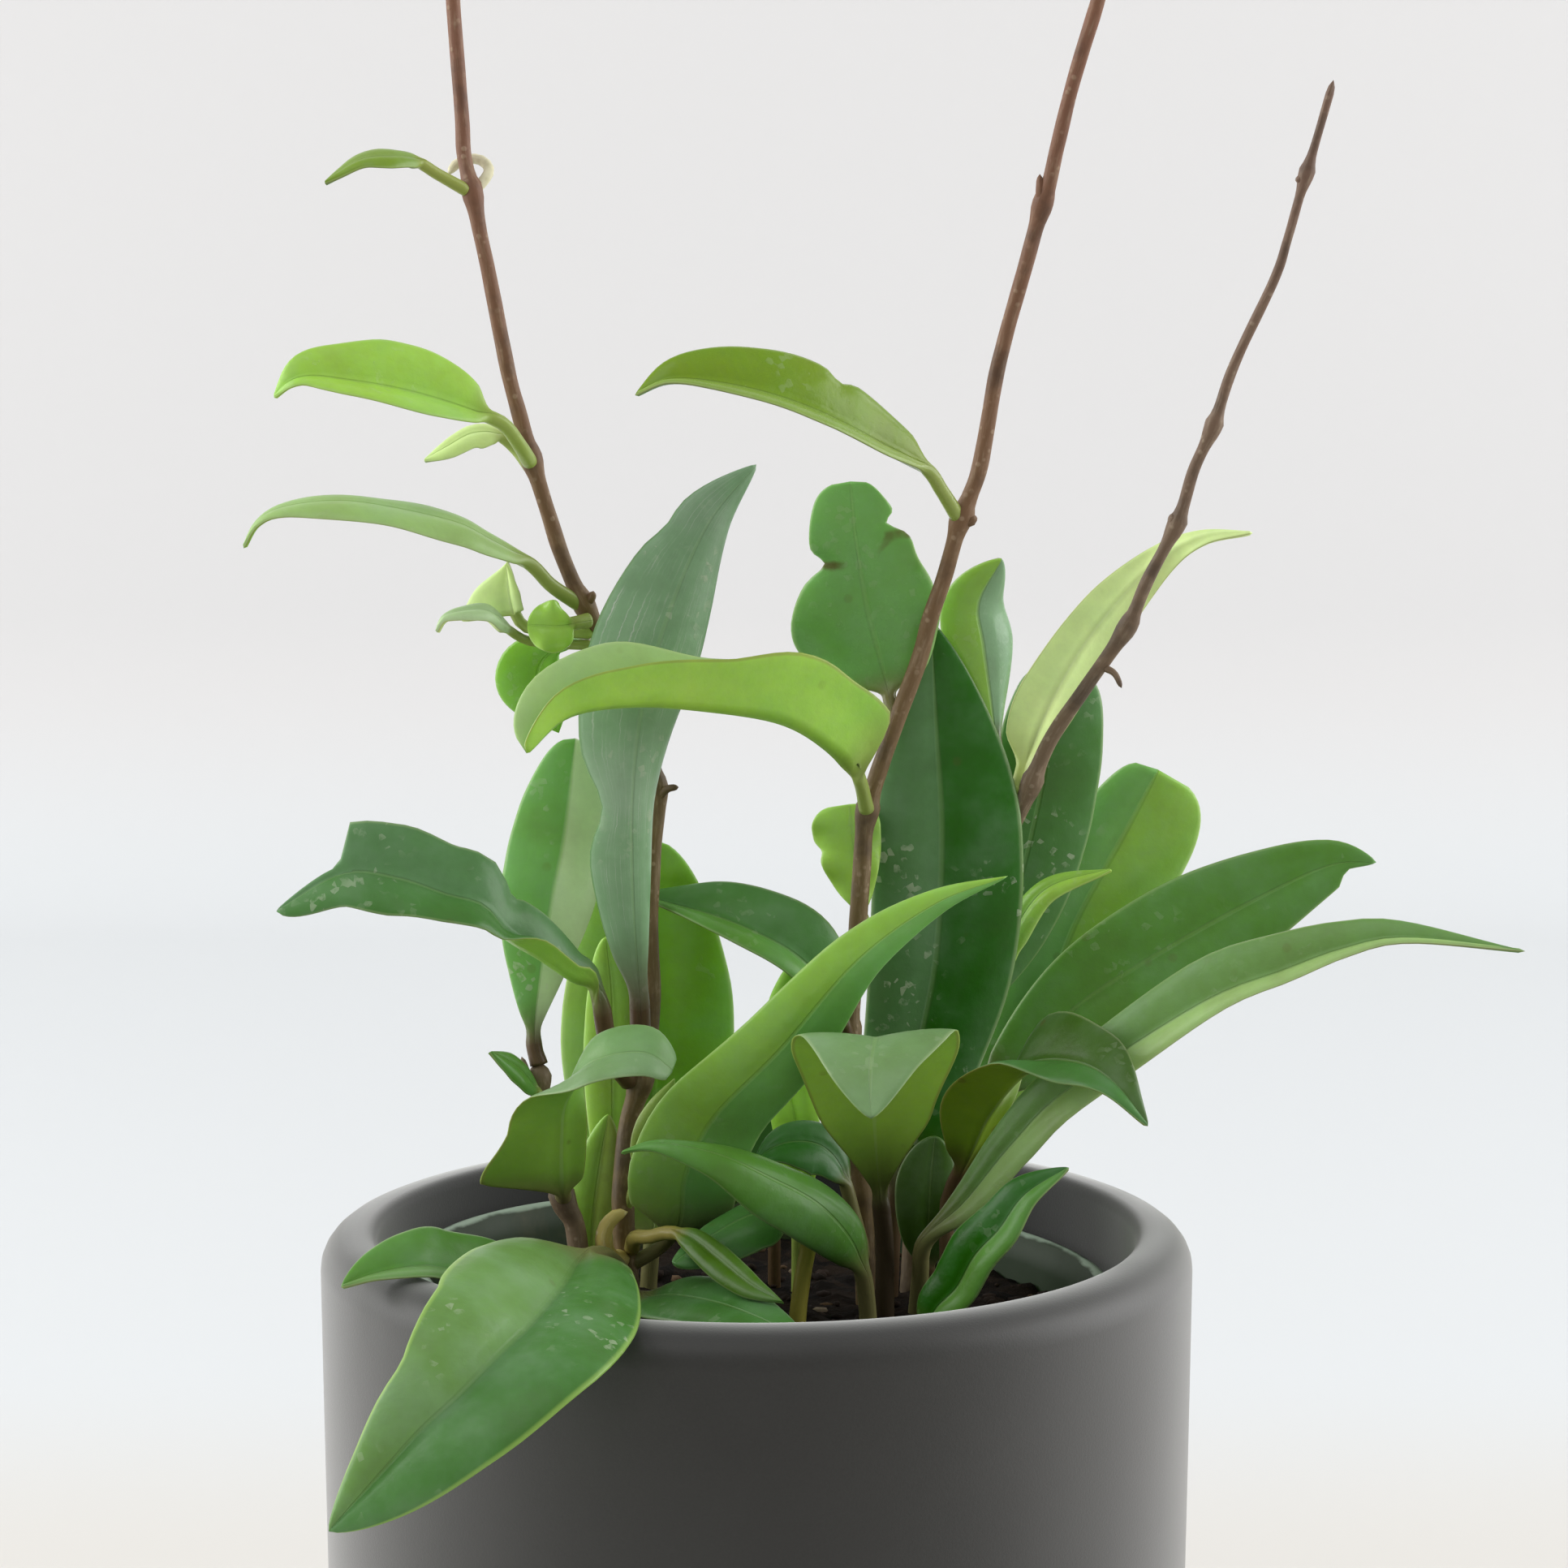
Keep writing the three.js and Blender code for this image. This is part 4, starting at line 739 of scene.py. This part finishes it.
            (19.4, -7, 112), (19, -7.6, 122), (18, -10, 129.6), (15.6, -15, 136.5), (10, -21, 143.8),
            (2.1, -26, 149.3), (-5.4, -29, 153.5), (-12.9, -30, 155.6), (-17.7, -30, 155.9),
            (-22.5, -30, 154.5),
        ],
        "left": [(-5, 0, -4), (-3.4, -2.4, -6), (-1, -4, -4)],
        "right": [(3, 5, 2.4), (1.6, 6, 1.4), (0, 5, 1)],
    },
    {
        "name": "crown_6", "kind": "middle", "stalk": 10, "belly": 0.4, "tip": 0.8,
        "shades": "bottle leaf sage",
        "line": [
            (27, -24, 111), (29, -25, 119), (30, -26, 126), (34, -28, 131), (37, -30, 137), (41, -32, 142),
            (45, -33, 148), (52, -34, 153),
        ],
        "left": [(-3.8, 3, 3.4)], "right": [(2.4, -3.6, -1.6)],
    },
    {
        "name": "crown_7", "kind": "deep", "stalk": 30, "radius": 1.4, "belly": 0.45, "tip": 0.6,
        "shades": "moss moss grass", "look": {"stalk": "#9a9440"},
        "line": [
            (7, -10, 112), (7, -10, 121), (8, -9, 129), (9, -9, 136), (6, -11, 140), (0, -13, 140),
            (-7, -16, 137), (-14, -20, 133),
        ],
        "left": [(-1, -6, -6)], "right": [(1, 6, 2)],
    },
    {
        "name": "crown_8", "kind": "middle", "stalk": 16, "belly": 0.5, "shades": "bottle bottle moss",
        "line": [(19, 8, 126), (17, 5, 135), (14, 3, 145), (9, 2, 149), (2, -1, 148), (-4, -5, 140)],
        "left": [(-2, -5, -4)], "right": [(2, 4, 3)],
    },
    {
        "name": "crown_9", "kind": "lime", "stalk": 22, "radius": 1, "belly": 0.45, "tip": 0.8,
        "shades": "lime lime lettuce",
        "line": [
            (7, 10, 112), (7, 10, 120), (7, 10, 134), (7, 10, 149), (5, 10, 160), (5, 8, 172),
            (8, 5.2, 183.2),
        ],
        "left": [(-4.4, 0, 0)], "right": [(4.4, 0, 0)],
    },
    {
        "name": "crown_10", "kind": "dark", "stalk": 20, "radius": 1.1, "belly": 0.6, "tip": 0.6,
        "shades": "moss moss grass",
        "line": [(3, 17, 112), (3, 17, 118), (3, 17, 133), (3, 17, 143), (4, 17, 152), (4, 16, 162)],
        "left": [(-7, 0, 0)], "right": [(6, 1, 0)],
    },
    {
        "name": "crown_11", "kind": "dark", "stalk": 12, "radius": 1.1, "belly": 0.6, "tip": 0.6,
        "shades": "forest forest olive",
        "line": [(31, 15, 112), (30, 14, 125), (30, 12, 137), (31, 13, 148)],
        "left": [(-6, 0, 0)], "right": [(5, 0, 0)],
    },
    {
        "name": "crown_12", "kind": "middle", "stalk": 16, "radius": 1.5, "belly": 0.5, "base": 0.55,
        "tip": 0.6, "bulge": 1, "shades": "apple clover grass",
        "line": [
            (-19, 13, 112), (-19, 14, 121), (-18, 15, 134), (-18, 16, 148), (-18, 16, 169), (-18, 15, 187),
            (-17, 13, 200),
        ],
        "left": [(-16, 1, 0)], "right": [(14, 1, 0)],
    },
    {
        "name": "crown_13", "kind": "middle", "stalk": 14, "radius": 1, "belly": 0.45, "tip": 0.7,
        "shades": "apple willow apple",
        "line": [(-29, 6, 112), (-29, 5, 121), (-28.6, 4, 133), (-27.4, 4, 143), (-25.6, 5, 153.6)],
        "left": [(-4.4, 0, 0)], "right": [(4.6, 0, 0)],
    },
    {
        "name": "short_1", "kind": "dark", "stalk": 4, "radius": 1.4, "belly": 0.6, "base": 1, "tip": 0.45,
        "shades": "grass silver sage", "look": {"flecks": 0.45},
        "line": [
            (-37, -5, 164), (-38, -4, 169), (-37, -2, 179), (-35, 0, 192), (-33, 3, 202), (-31, 6, 219),
        ],
        "left": [(-9, 0, 0), (-9.5, 0, 0), (-8, 0, 2)], "right": [(6, 3, 0), (8, 4, 0), (8, 3, -2)],
    },
    {
        "name": "short_2", "kind": "middle", "stalk": 4, "radius": 1.4, "belly": 0.2, "base": 0.32,
        "tip": 0.3, "shades": "fern sage apple", "look": {"spots": 0.3},
        "line": [
            (-33, -6, 141), (-33, -11, 145), (-33, -15, 154), (-32, -18, 162), (-27, -22, 168),
            (-19, -24, 170), (-14, -24, 167),
        ],
        "left": [(4, 0, 0), (4.4, 1, 0), (2, 6, 5.4), (1, 7, 6)],
        "right": [(-17, -1, -1.6), (-9, -2, 0), (-3, -6, -3.6), (-1, -6, -4)],
    },
    {
        "name": "short_3", "kind": "fresh", "stalk": 3, "radius": 0.9, "shades": "leaf leaf leaf",
        "line": [(-36, -5, 158), (-38.5, -8, 161.6), (-41, -11, 165), (-45, -15, 168.6)],
        "left": [(0, -2.6, -2)], "right": [(0, 2.6, 1.4)],
    },
    {
        "name": "short_4", "kind": "dark", "stalk": 16, "belly": 0.48, "tip": 0.8,
        "shades": "fern leaf sage",
        "line": [
            (-30, -6, 126), (-35.9, -16, 130), (-42.5, -24, 132.7), (-50, -30, 134.1), (-55.6, -35, 136),
            (-62.9, -39, 135.8), (-68.4, -42, 134.6),
        ],
        "left": [(0, -6.4, -0.2)], "right": [(0, 6, 5.8)],
    },
]
for number, leaf in enumerate(leaves):
    name = leaf["name"].replace("_", "Leaf")
    look = {"shades": leaf["shades"], "stalk": stalks[leaf["kind"]], **leafLook, **leaf.get("look", {})}
    material = leafPaint(name + "Wax", look)
    skin = leafSkin(leaf, number * 1.7)
    piece(name, skin, material, "leaf_" + leaf["kind"], "leaf_" + leaf["name"])
print(len(leaves), "leaves ready")


# vines, with their joints, air roots and scars
bark = {
    "stem_brown": {"low": "#6a5836", "high": "#7a5340", "pale": "#ab967c", "dark": "#33261c"},
    "stem_grey": {"low": "#72614a", "high": "#745a4c", "pale": "#b0a18a", "dark": "#392e24"},
    "tops": "#9c744f",
}


def barkPaint(name, look):
    paint = Paint(name, Specular_IOR_Level=0.35)
    u, v, _ = paint.surfacePlace()
    place = paint.objectPlace()
    fibres = paint.grain(paint.joined(u * 9, v * 1.5, 0.0), 1.0, 5, 0.7)
    clouds = paint.grain(place, 110, 4, 0.6)
    pores = paint.step(paint.cells(place, 520), 0.3, 0.14) * paint.step(clouds, 0.44, 0.58)
    _, _, z = paint.parts(place)
    shown = paint.mix(paint.step(z, 0.16, 0.36), colour(look["low"]), colour(look["high"]))
    shown = paint.mix(paint.step(z, 0.335, 0.375) * 0.8, shown, colour(bark["tops"]))
    shown = paint.mix(paint.step(fibres, 0.45, 0.78) * 0.45, shown, colour(look["pale"]))
    shown = paint.mix(paint.step(clouds, 0.55, 0.3) * 0.6, shown, colour(look["dark"]))
    shown = paint.mix(pores * 0.4, shown, colour(look["pale"]))
    height = fibres * 0.7 + clouds * 0.4 + pores * 0.3
    return paint.finish(
        Base_Color=shown, Roughness=clouds * 0.2 + 0.45, Normal=paint.bump(height, 0.0003, 0.7)
    )


def tubeSkin(line, radii, joints=(), around=18, rows=0, seed=0.0):
    path = Path(line)
    rows = rows or max(int(path.length / 1.2), 8)
    frames = []
    side = None
    for j in range(rows + 1):
        heading = path.heading(j / rows)
        side = heading.orthogonal() if side is None else side - heading * side.dot(heading)
        side.normalize()
        frames.append((path.at(j / rows), side.copy(), heading.cross(side)))

    def place(u, j):
        centre, side, other = frames[j]
        if j == 0 or j == rows:
            return centre.copy()
        share = j / rows * (len(radii) - 1)
        i = min(int(share), len(radii) - 2)
        radius = blend(radii[i], radii[i + 1], share - i)
        for height in joints:
            away = centre.z - height
            radius += 0.6 * math.exp(-(away / 2.2) ** 2) + 0.25 * math.exp(-((away - 1.2) / 0.5) ** 2)
        radius *= 1 + 0.09 * noise.noise(centre * 0.16 + Vector((u, seed, 0)))
        if j in (1, rows - 1):
            radius *= 0.8
        angle = 2 * math.pi * u
        return centre + side * (math.cos(angle) * radius) + other * (math.sin(angle) * radius)

    return wrapGrid(around, rows, place, lambda j: j / rows * path.length / 10)


def joined(shapes):
    whole = bmesh.new()
    whole.loops.layers.uv.new("skin")
    for bm in shapes:
        held = bpy.data.meshes.new("held")
        bm.to_mesh(held)
        bm.free()
        whole.from_mesh(held)
        bpy.data.meshes.remove(held)
    return whole


vines = {
    "vine_left": {
        "line": [
            (-22, 0, 113), (-22, 0, 122), (-23, 0, 138), (-22, 2, 152), (-20, 2, 160), (-18, 3, 173),
            (-18.4, 4, 185), (-17.8, 6, 199), (-17.2, 8, 210.5), (-22, 8, 227), (-29.4, 6, 242),
            (-31.8, 6, 247.2), (-33.9, 6, 252.9), (-36.2, 5, 260.6), (-38, 4, 266.8), (-40, 4, 274.5),
            (-41.9, 4, 281.9), (-44.7, 4, 296.7), (-46.4, 4, 305.1), (-47.7, 5, 311.9), (-49.2, 7, 318.3),
            (-49.6, 8.6, 324.8), (-51.1, 12, 343.9), (-52, 14, 364), (-52, 16, 383),
        ],
        "radii": [2.1, 1.9, 1.55, 1.35, 1.35, 1.3, 1.25, 1.2, 1.1],
        "joints": [160, 210, 242, 267, 312, 352],
        "growths": [
            ([(-16.7, 7, 208.5), (-15.3, 6, 210.2), (-13.3, 5, 210.7)], [0.8, 0.5]),
            ([(-29.4, 6, 242), (-28.2, 5, 243.1), (-27.7, 5, 244.5)], [1, 0.6]),
        ],
    },
    "vine_middle": {
        "line": [
            (19, 8, 112), (19, 8, 121), (18, 8, 142), (16, 8, 165), (17, 8, 180), (18, 8, 195),
            (19, 8, 206), (23, 8, 219), (27.6, 8, 231.8), (29.5, 7, 239), (32, 6, 246.9), (34.6, 4, 256.6),
            (36.2, 4, 260.7), (38.1, 4, 266.9), (40.9, 4, 283), (45.1, 2, 299.2), (46.7, 2, 305.3),
            (48.1, 1, 310.5), (49.1, 0, 313.9), (50.4, -1, 320.2), (53, -3, 331.4), (56.7, -6, 344.4),
            (62.5, -8, 366), (67, -10, 388),
        ],
        "radii": [2, 1.8, 1.6, 1.5, 1.4, 1.3, 1.25, 1.2, 1.1],
        "joints": [167, 206, 257, 310, 352],
        "growths": [
            ([(16, 8, 168), (13.4, 6, 170), (12.6, 6, 172.6)], [1, 0.7]),
            ([(34.7, 4, 256.8), (36.3, 3.4, 256.6), (36.7, 3, 257.8)], [1.2, 0.9]),
            ([(48, 1, 309.7), (47.6, 0, 312.4), (47.5, 0, 315.4)], [1.1, 0.5]),
        ],
    },
    "vine_right": {
        "line": [
            (26, 22, 110), (27, 22, 117), (29, 24, 145), (38, 24, 185), (46.6, 20, 206.3),
            (50.9, 18, 217.1), (57.3, 15, 227.4), (63.6, 13, 237.3), (66.7, 12, 244.9), (71.9, 10, 255.9),
            (74.5, 9, 264.9), (77.6, 8, 272.3), (81.1, 8, 282.9), (87.6, 6, 297.6), (89.5, 5, 304.1),
            (92, 4, 313.7), (94.3, 4, 321.7), (96.8, 4, 330.9),
        ],
        "radii": [2, 1.8, 1.6, 1.5, 1.3, 1.1, 0.95, 0.8, 0.7],
        "joints": [209, 237, 255, 272, 315],
        "growths": [
            ([(59.4, 14, 230.2), (61.5, 13, 229.2), (62.7, 12, 226.8)], [0.7, 0.45]),
            ([(71.9, 10, 255.9), (70.3, 9.4, 256.5)], [1.2, 0.8]),
            ([(71.9, 10, 255.9), (73.5, 9.6, 256.1)], [1.2, 0.8]),
            ([(77.6, 8, 272.3), (76.3, 7.6, 273.3)], [1, 0.6]),
            ([(77.6, 8, 272.3), (79, 7.8, 272.7)], [1, 0.6]),
            ([(92, 4, 313.7), (90.8, 3.6, 314.7)], [0.9, 0.6]),
        ],
    },
    "stem_short": {
        "line": [
            (-30, -6, 112), (-30, -6, 124), (-31, -6, 136), (-33, -6, 141), (-36, -5, 153), (-37, -5, 160),
            (-37, -5, 165),
        ],
        "radii": [1.9, 1.8, 1.7, 1.6, 1.5],
        "joints": [141, 162],
        "growths": [
            ([(-37, -5, 160), (-39, -6, 163), (-40, -6, 166)], [0.9, 0.5]),
        ],
    },
}
for node, vine in vines.items():
    slot = "stem_grey" if node in ("vine_right", "stem_short") else "stem_brown"
    shapes = [tubeSkin(vine["line"], vine["radii"], vine["joints"])]
    for line, radii in vine["growths"]:
        shapes.append(tubeSkin(line, radii, around=12, rows=10, seed=4.0))
    name = node.replace("_", "")
    piece(name, joined(shapes), barkPaint(name + "Bark", bark[slot]), slot, node)
print("vines ready")

shoots = {
    "curledShoot": {
        "node": "shoot_left_1", "shown": "#e6e2c4",
        "radii": [1, 0.8],
        "line": [
            (-48, 5.4, 311.6), (-45.3, 6.6, 314.7), (-45.3, 8.4, 316.3), (-47, 9.4, 317.4),
            (-49.2, 9.8, 317.2), (-50.9, 9.2, 316.3), (-52, 8, 314.7),
        ],
    },
    "bentShoot": {
        "node": "shoot_left_2", "shown": "#c0b062",
        "radii": [1.8, 1.5, 1],
        "line": [
            (-22.5, 0, 129.6), (-24.6, -3.8, 129.9), (-26, -5.6, 132.4), (-26, -6.2, 135.8),
            (-24.3, -5.8, 138), (-22, -4.8, 138.6),
        ],
    },
}
for name, shoot in shoots.items():
    look = {"low": shoot["shown"], "high": shoot["shown"], "pale": "#e2dcb4", "dark": "#a39c66"}
    skin = tubeSkin(shoot["line"], shoot["radii"])
    piece(name, skin, barkPaint(name + "Skin", look), "leaf_lime", shoot["node"])
print("shoots ready")


# pots: a profile of a few points, its corners rounded, spun about the upright axis
def lathe(profile, rounds, steps):
    bm = bmesh.new()
    verts = [bm.verts.new((r * mm, 0, z * mm)) for r, z in profile]
    for a, b in zip(verts, verts[1:]):
        bm.edges.new((a, b))
    for i, offset in rounds:
        bmesh.ops.bevel(
            bm, geom=[verts[i]], offset=offset * mm, affect="VERTICES", segments=6, profile=0.5, material=-1
        )
    geom = bm.verts[:] + bm.edges[:]
    bmesh.ops.spin(
        bm, geom=geom, cent=(0, 0, 0), axis=(0, 0, 1), angle=2 * math.pi, steps=steps, use_merge=True
    )
    bmesh.ops.remove_doubles(bm, verts=bm.verts, dist=1e-5)
    bmesh.ops.recalc_face_normals(bm, faces=bm.faces)
    return bm


def lean(bm, pot):
    about = Matrix.Translation(Vector((pot["shift"], 0, pot["lift"] + pot["height"])) * mm)
    turn = Matrix.Rotation(math.radians(pot["lean"]), 4, "Y")
    down = Matrix.Translation(Vector((0, 0, -pot["height"] * mm)))
    bmesh.ops.transform(bm, matrix=about @ turn @ down, verts=bm.verts)


ceramic = {
    "profile": [
        (0, 0), (73.2, 0), (74.6, 101), (75, 135), (65.2, 135), (64.6, 115), (62, 14), (59, 8), (0, 8),
    ],
    "rounds": [(1, 3.2), (3, 6.4), (4, 2.2)],
    "shown": "#2a2a28", "fleck": "#42423f", "deep": "#21211f", "innerShade": "#060706", "lip": (0.0742, 0.0715),
}
paint = Paint("greyGlaze", Specular_IOR_Level=0.35, Sheen_Weight=0.85, Sheen_Roughness=0.45)
place = paint.objectPlace()
x, y, z = paint.parts(place)
# inner wall and top of the rim painted near black: painted shade
paintedShadeInside = paint.step(x * x + y * y, *[reach ** 2 for reach in ceramic["lip"]])
mottle = paint.grain(place, 22, 5, 0.6)
grit = paint.grain(place, 2200, 3, 0.7)
shown = paint.mix(paint.step(mottle, 0.3, 0.75), colour(ceramic["deep"]), colour(ceramic["shown"]))
shown = paint.mix(grit * 0.3, shown, colour(ceramic["fleck"]))
shown = paint.mix(paintedShadeInside * 0.9, shown, colour(ceramic["innerShade"]))
rough = mottle * 0.1 + grit * 0.1 + paintedShadeInside * 0.25 + 0.38
glaze = paint.finish(Base_Color=shown, Roughness=rough, Normal=paint.bump(grit, 0.00005, 0.5))
piece("ceramicPot", lathe(ceramic["profile"], ceramic["rounds"], 160), glaze, "ceramic", "cachepot")

liner = {
    "height": 116.6, "lift": 10.6, "lean": 2.5, "shift": 1,
    "profile": [
        (0, 0), (41, 0), (43, 1.6), (58.2, 111.6), (60.3, 112), (60.8, 113.6), (60.3, 116.3), (59.2, 116.6),
        (58.2, 116.1), (57, 111.6), (41.8, 2.8), (39.8, 1.2), (0, 1.2),
    ],
    "shown": "#1e3015", "rim": "#8b9c8c", "dust": "#6b5f4a",
}
bm = lathe(liner["profile"], [], 128)
lean(bm, liner)
paint = Paint("linerPlastic", Specular_IOR_Level=0.22)
place = paint.objectPlace()
x, _, z = paint.parts(place)
clouds = paint.grain(place, 70, 4, 0.6)
level = x * math.sin(math.radians(liner["lean"])) + z  # height along the leaning pot
edge = paint.step(clouds * 0.002 + level, 0.1275, 0.128)
shown = paint.mix(edge, colour(liner["shown"]), colour(liner["rim"]))
shown = paint.mix(paint.step(clouds, 0.5, 0.75) * 0.35, shown, colour(liner["dust"]))
plastic = paint.finish(
    Base_Color=shown, Roughness=clouds * 0.2 + 0.42, Normal=paint.bump(clouds, 0.0003, 0.4)
)
piece("nurseryPot", bm, plastic, "nursery_plastic", "nursery_pot")
print("pots ready")


# potting mix: one rough body, and loose crumbs pressed into its top
mix = {
    "level": 108, "mound": 2, "rough": 1.6, "crumbs": 420, "seed": 11,
    "profile": [
        (0, 1.5), (38.8, 1.5), (42, 4), (56.1, 108), (50, 108.4), (46, 108.6), (42, 108.7), (38, 108.8),
        (35, 108.9), (32, 109), (28, 109.2), (24, 109.4), (20, 109.5), (16, 109.6), (12, 109.8),
        (8, 109.9), (4, 110), (0, 110),
    ],
    "deep": "#0f0c09", "shown": "#261d15", "grain": "#5b4b38",
    "crumb": ["#110d0a", "#2b2018", "#6a553e", "#a89d8b"], "shade": "#2a201a",
}
bm = lathe(mix["profile"], [], 120)
bmesh.ops.subdivide_edges(
    bm, edges=[e for e in bm.edges if all(v.co.z > 0.1075 for v in e.verts)], cuts=1, use_grid_fill=True
)
for vert in bm.verts:
    if vert.co.z > 0.1078:
        rise = noise.fractal(vert.co * 160, 0.9, 2.1, 5) + 0.6 * noise.noise(vert.co * 45)
        vert.co.z += rise * mix["rough"] * mm
lean(bm, liner)
paint = Paint("pottingMix", Specular_IOR_Level=0.08)
place = paint.objectPlace()
grit = paint.grain(place, 500, 6, 0.75)
lumps = paint.cells(place, 260, out="Color")
tone = paint.parts(lumps)[0]
shown = paint.mix(tone, colour(mix["deep"]), colour(mix["shown"]))
shown = paint.mix(paint.step(grit, 0.62, 0.72) * 0.5, shown, colour(mix["grain"]))
bumps = paint.bump(grit + tone, 0.0012, 0.9)
mixPaint = paint.finish(Base_Color=shown, Roughness=grit * 0.3 + 0.7, Normal=bumps)
piece("pottingMix", bm, mixPaint, "soil", "soil")

draw = random.Random(mix["seed"])
whole = bmesh.new()
tint = whole.loops.layers.uv.new("skin")
for _ in range(mix["crumbs"]):
    reach, angle = 55 * math.sqrt(draw.random()), draw.uniform(0, 2 * math.pi)
    known = set(whole.faces)
    made = bmesh.ops.create_icosphere(whole, subdivisions=1, radius=draw.uniform(0.5, 1.7) * mm)["verts"]
    shape = Matrix.Diagonal((draw.uniform(0.6, 1.5), draw.uniform(0.5, 1), draw.uniform(0.3, 0.7), 1))
    turn = Matrix.Rotation(draw.uniform(0, 6.3), 4, "Z") @ Matrix.Rotation(draw.uniform(-0.6, 0.6), 4, "X")
    height = mix["level"] + mix["mound"] * (1 - reach / 56) + draw.uniform(-0.2, 0.9)
    spot = Vector((reach * math.cos(angle), reach * math.sin(angle), height)) * mm
    bmesh.ops.transform(whole, matrix=Matrix.Translation(spot) @ turn @ shape, verts=made)
    tone = draw.random()
    for face in {f for vert in made for f in vert.link_faces}:
        for loop in face.loops:
            loop[tint].uv = (tone, 0.5)
lean(whole, liner)
paint = Paint("crumbs", Specular_IOR_Level=0.1)
tone, _, _ = paint.surfacePlace()
grit = paint.grain(paint.objectPlace(), 900, 4, 0.7)
ends = [(place, colour(code)) for place, code in zip((0, 0.7, 0.9, 0.97), mix["crumb"])]
shown = paint.node("ValToRGB", {"stops": ends}, {"Fac": tone}, "Color")
shown = paint.mix(grit * 0.5, shown, colour(mix["shade"]))
bumps = paint.bump(grit, 0.0004, 0.6)
crumbPaint = paint.finish(Base_Color=shown, Roughness=grit * 0.2 + 0.7, Normal=bumps)
piece("looseCrumbs", whole, crumbPaint, "soil")
print("potting mix ready")
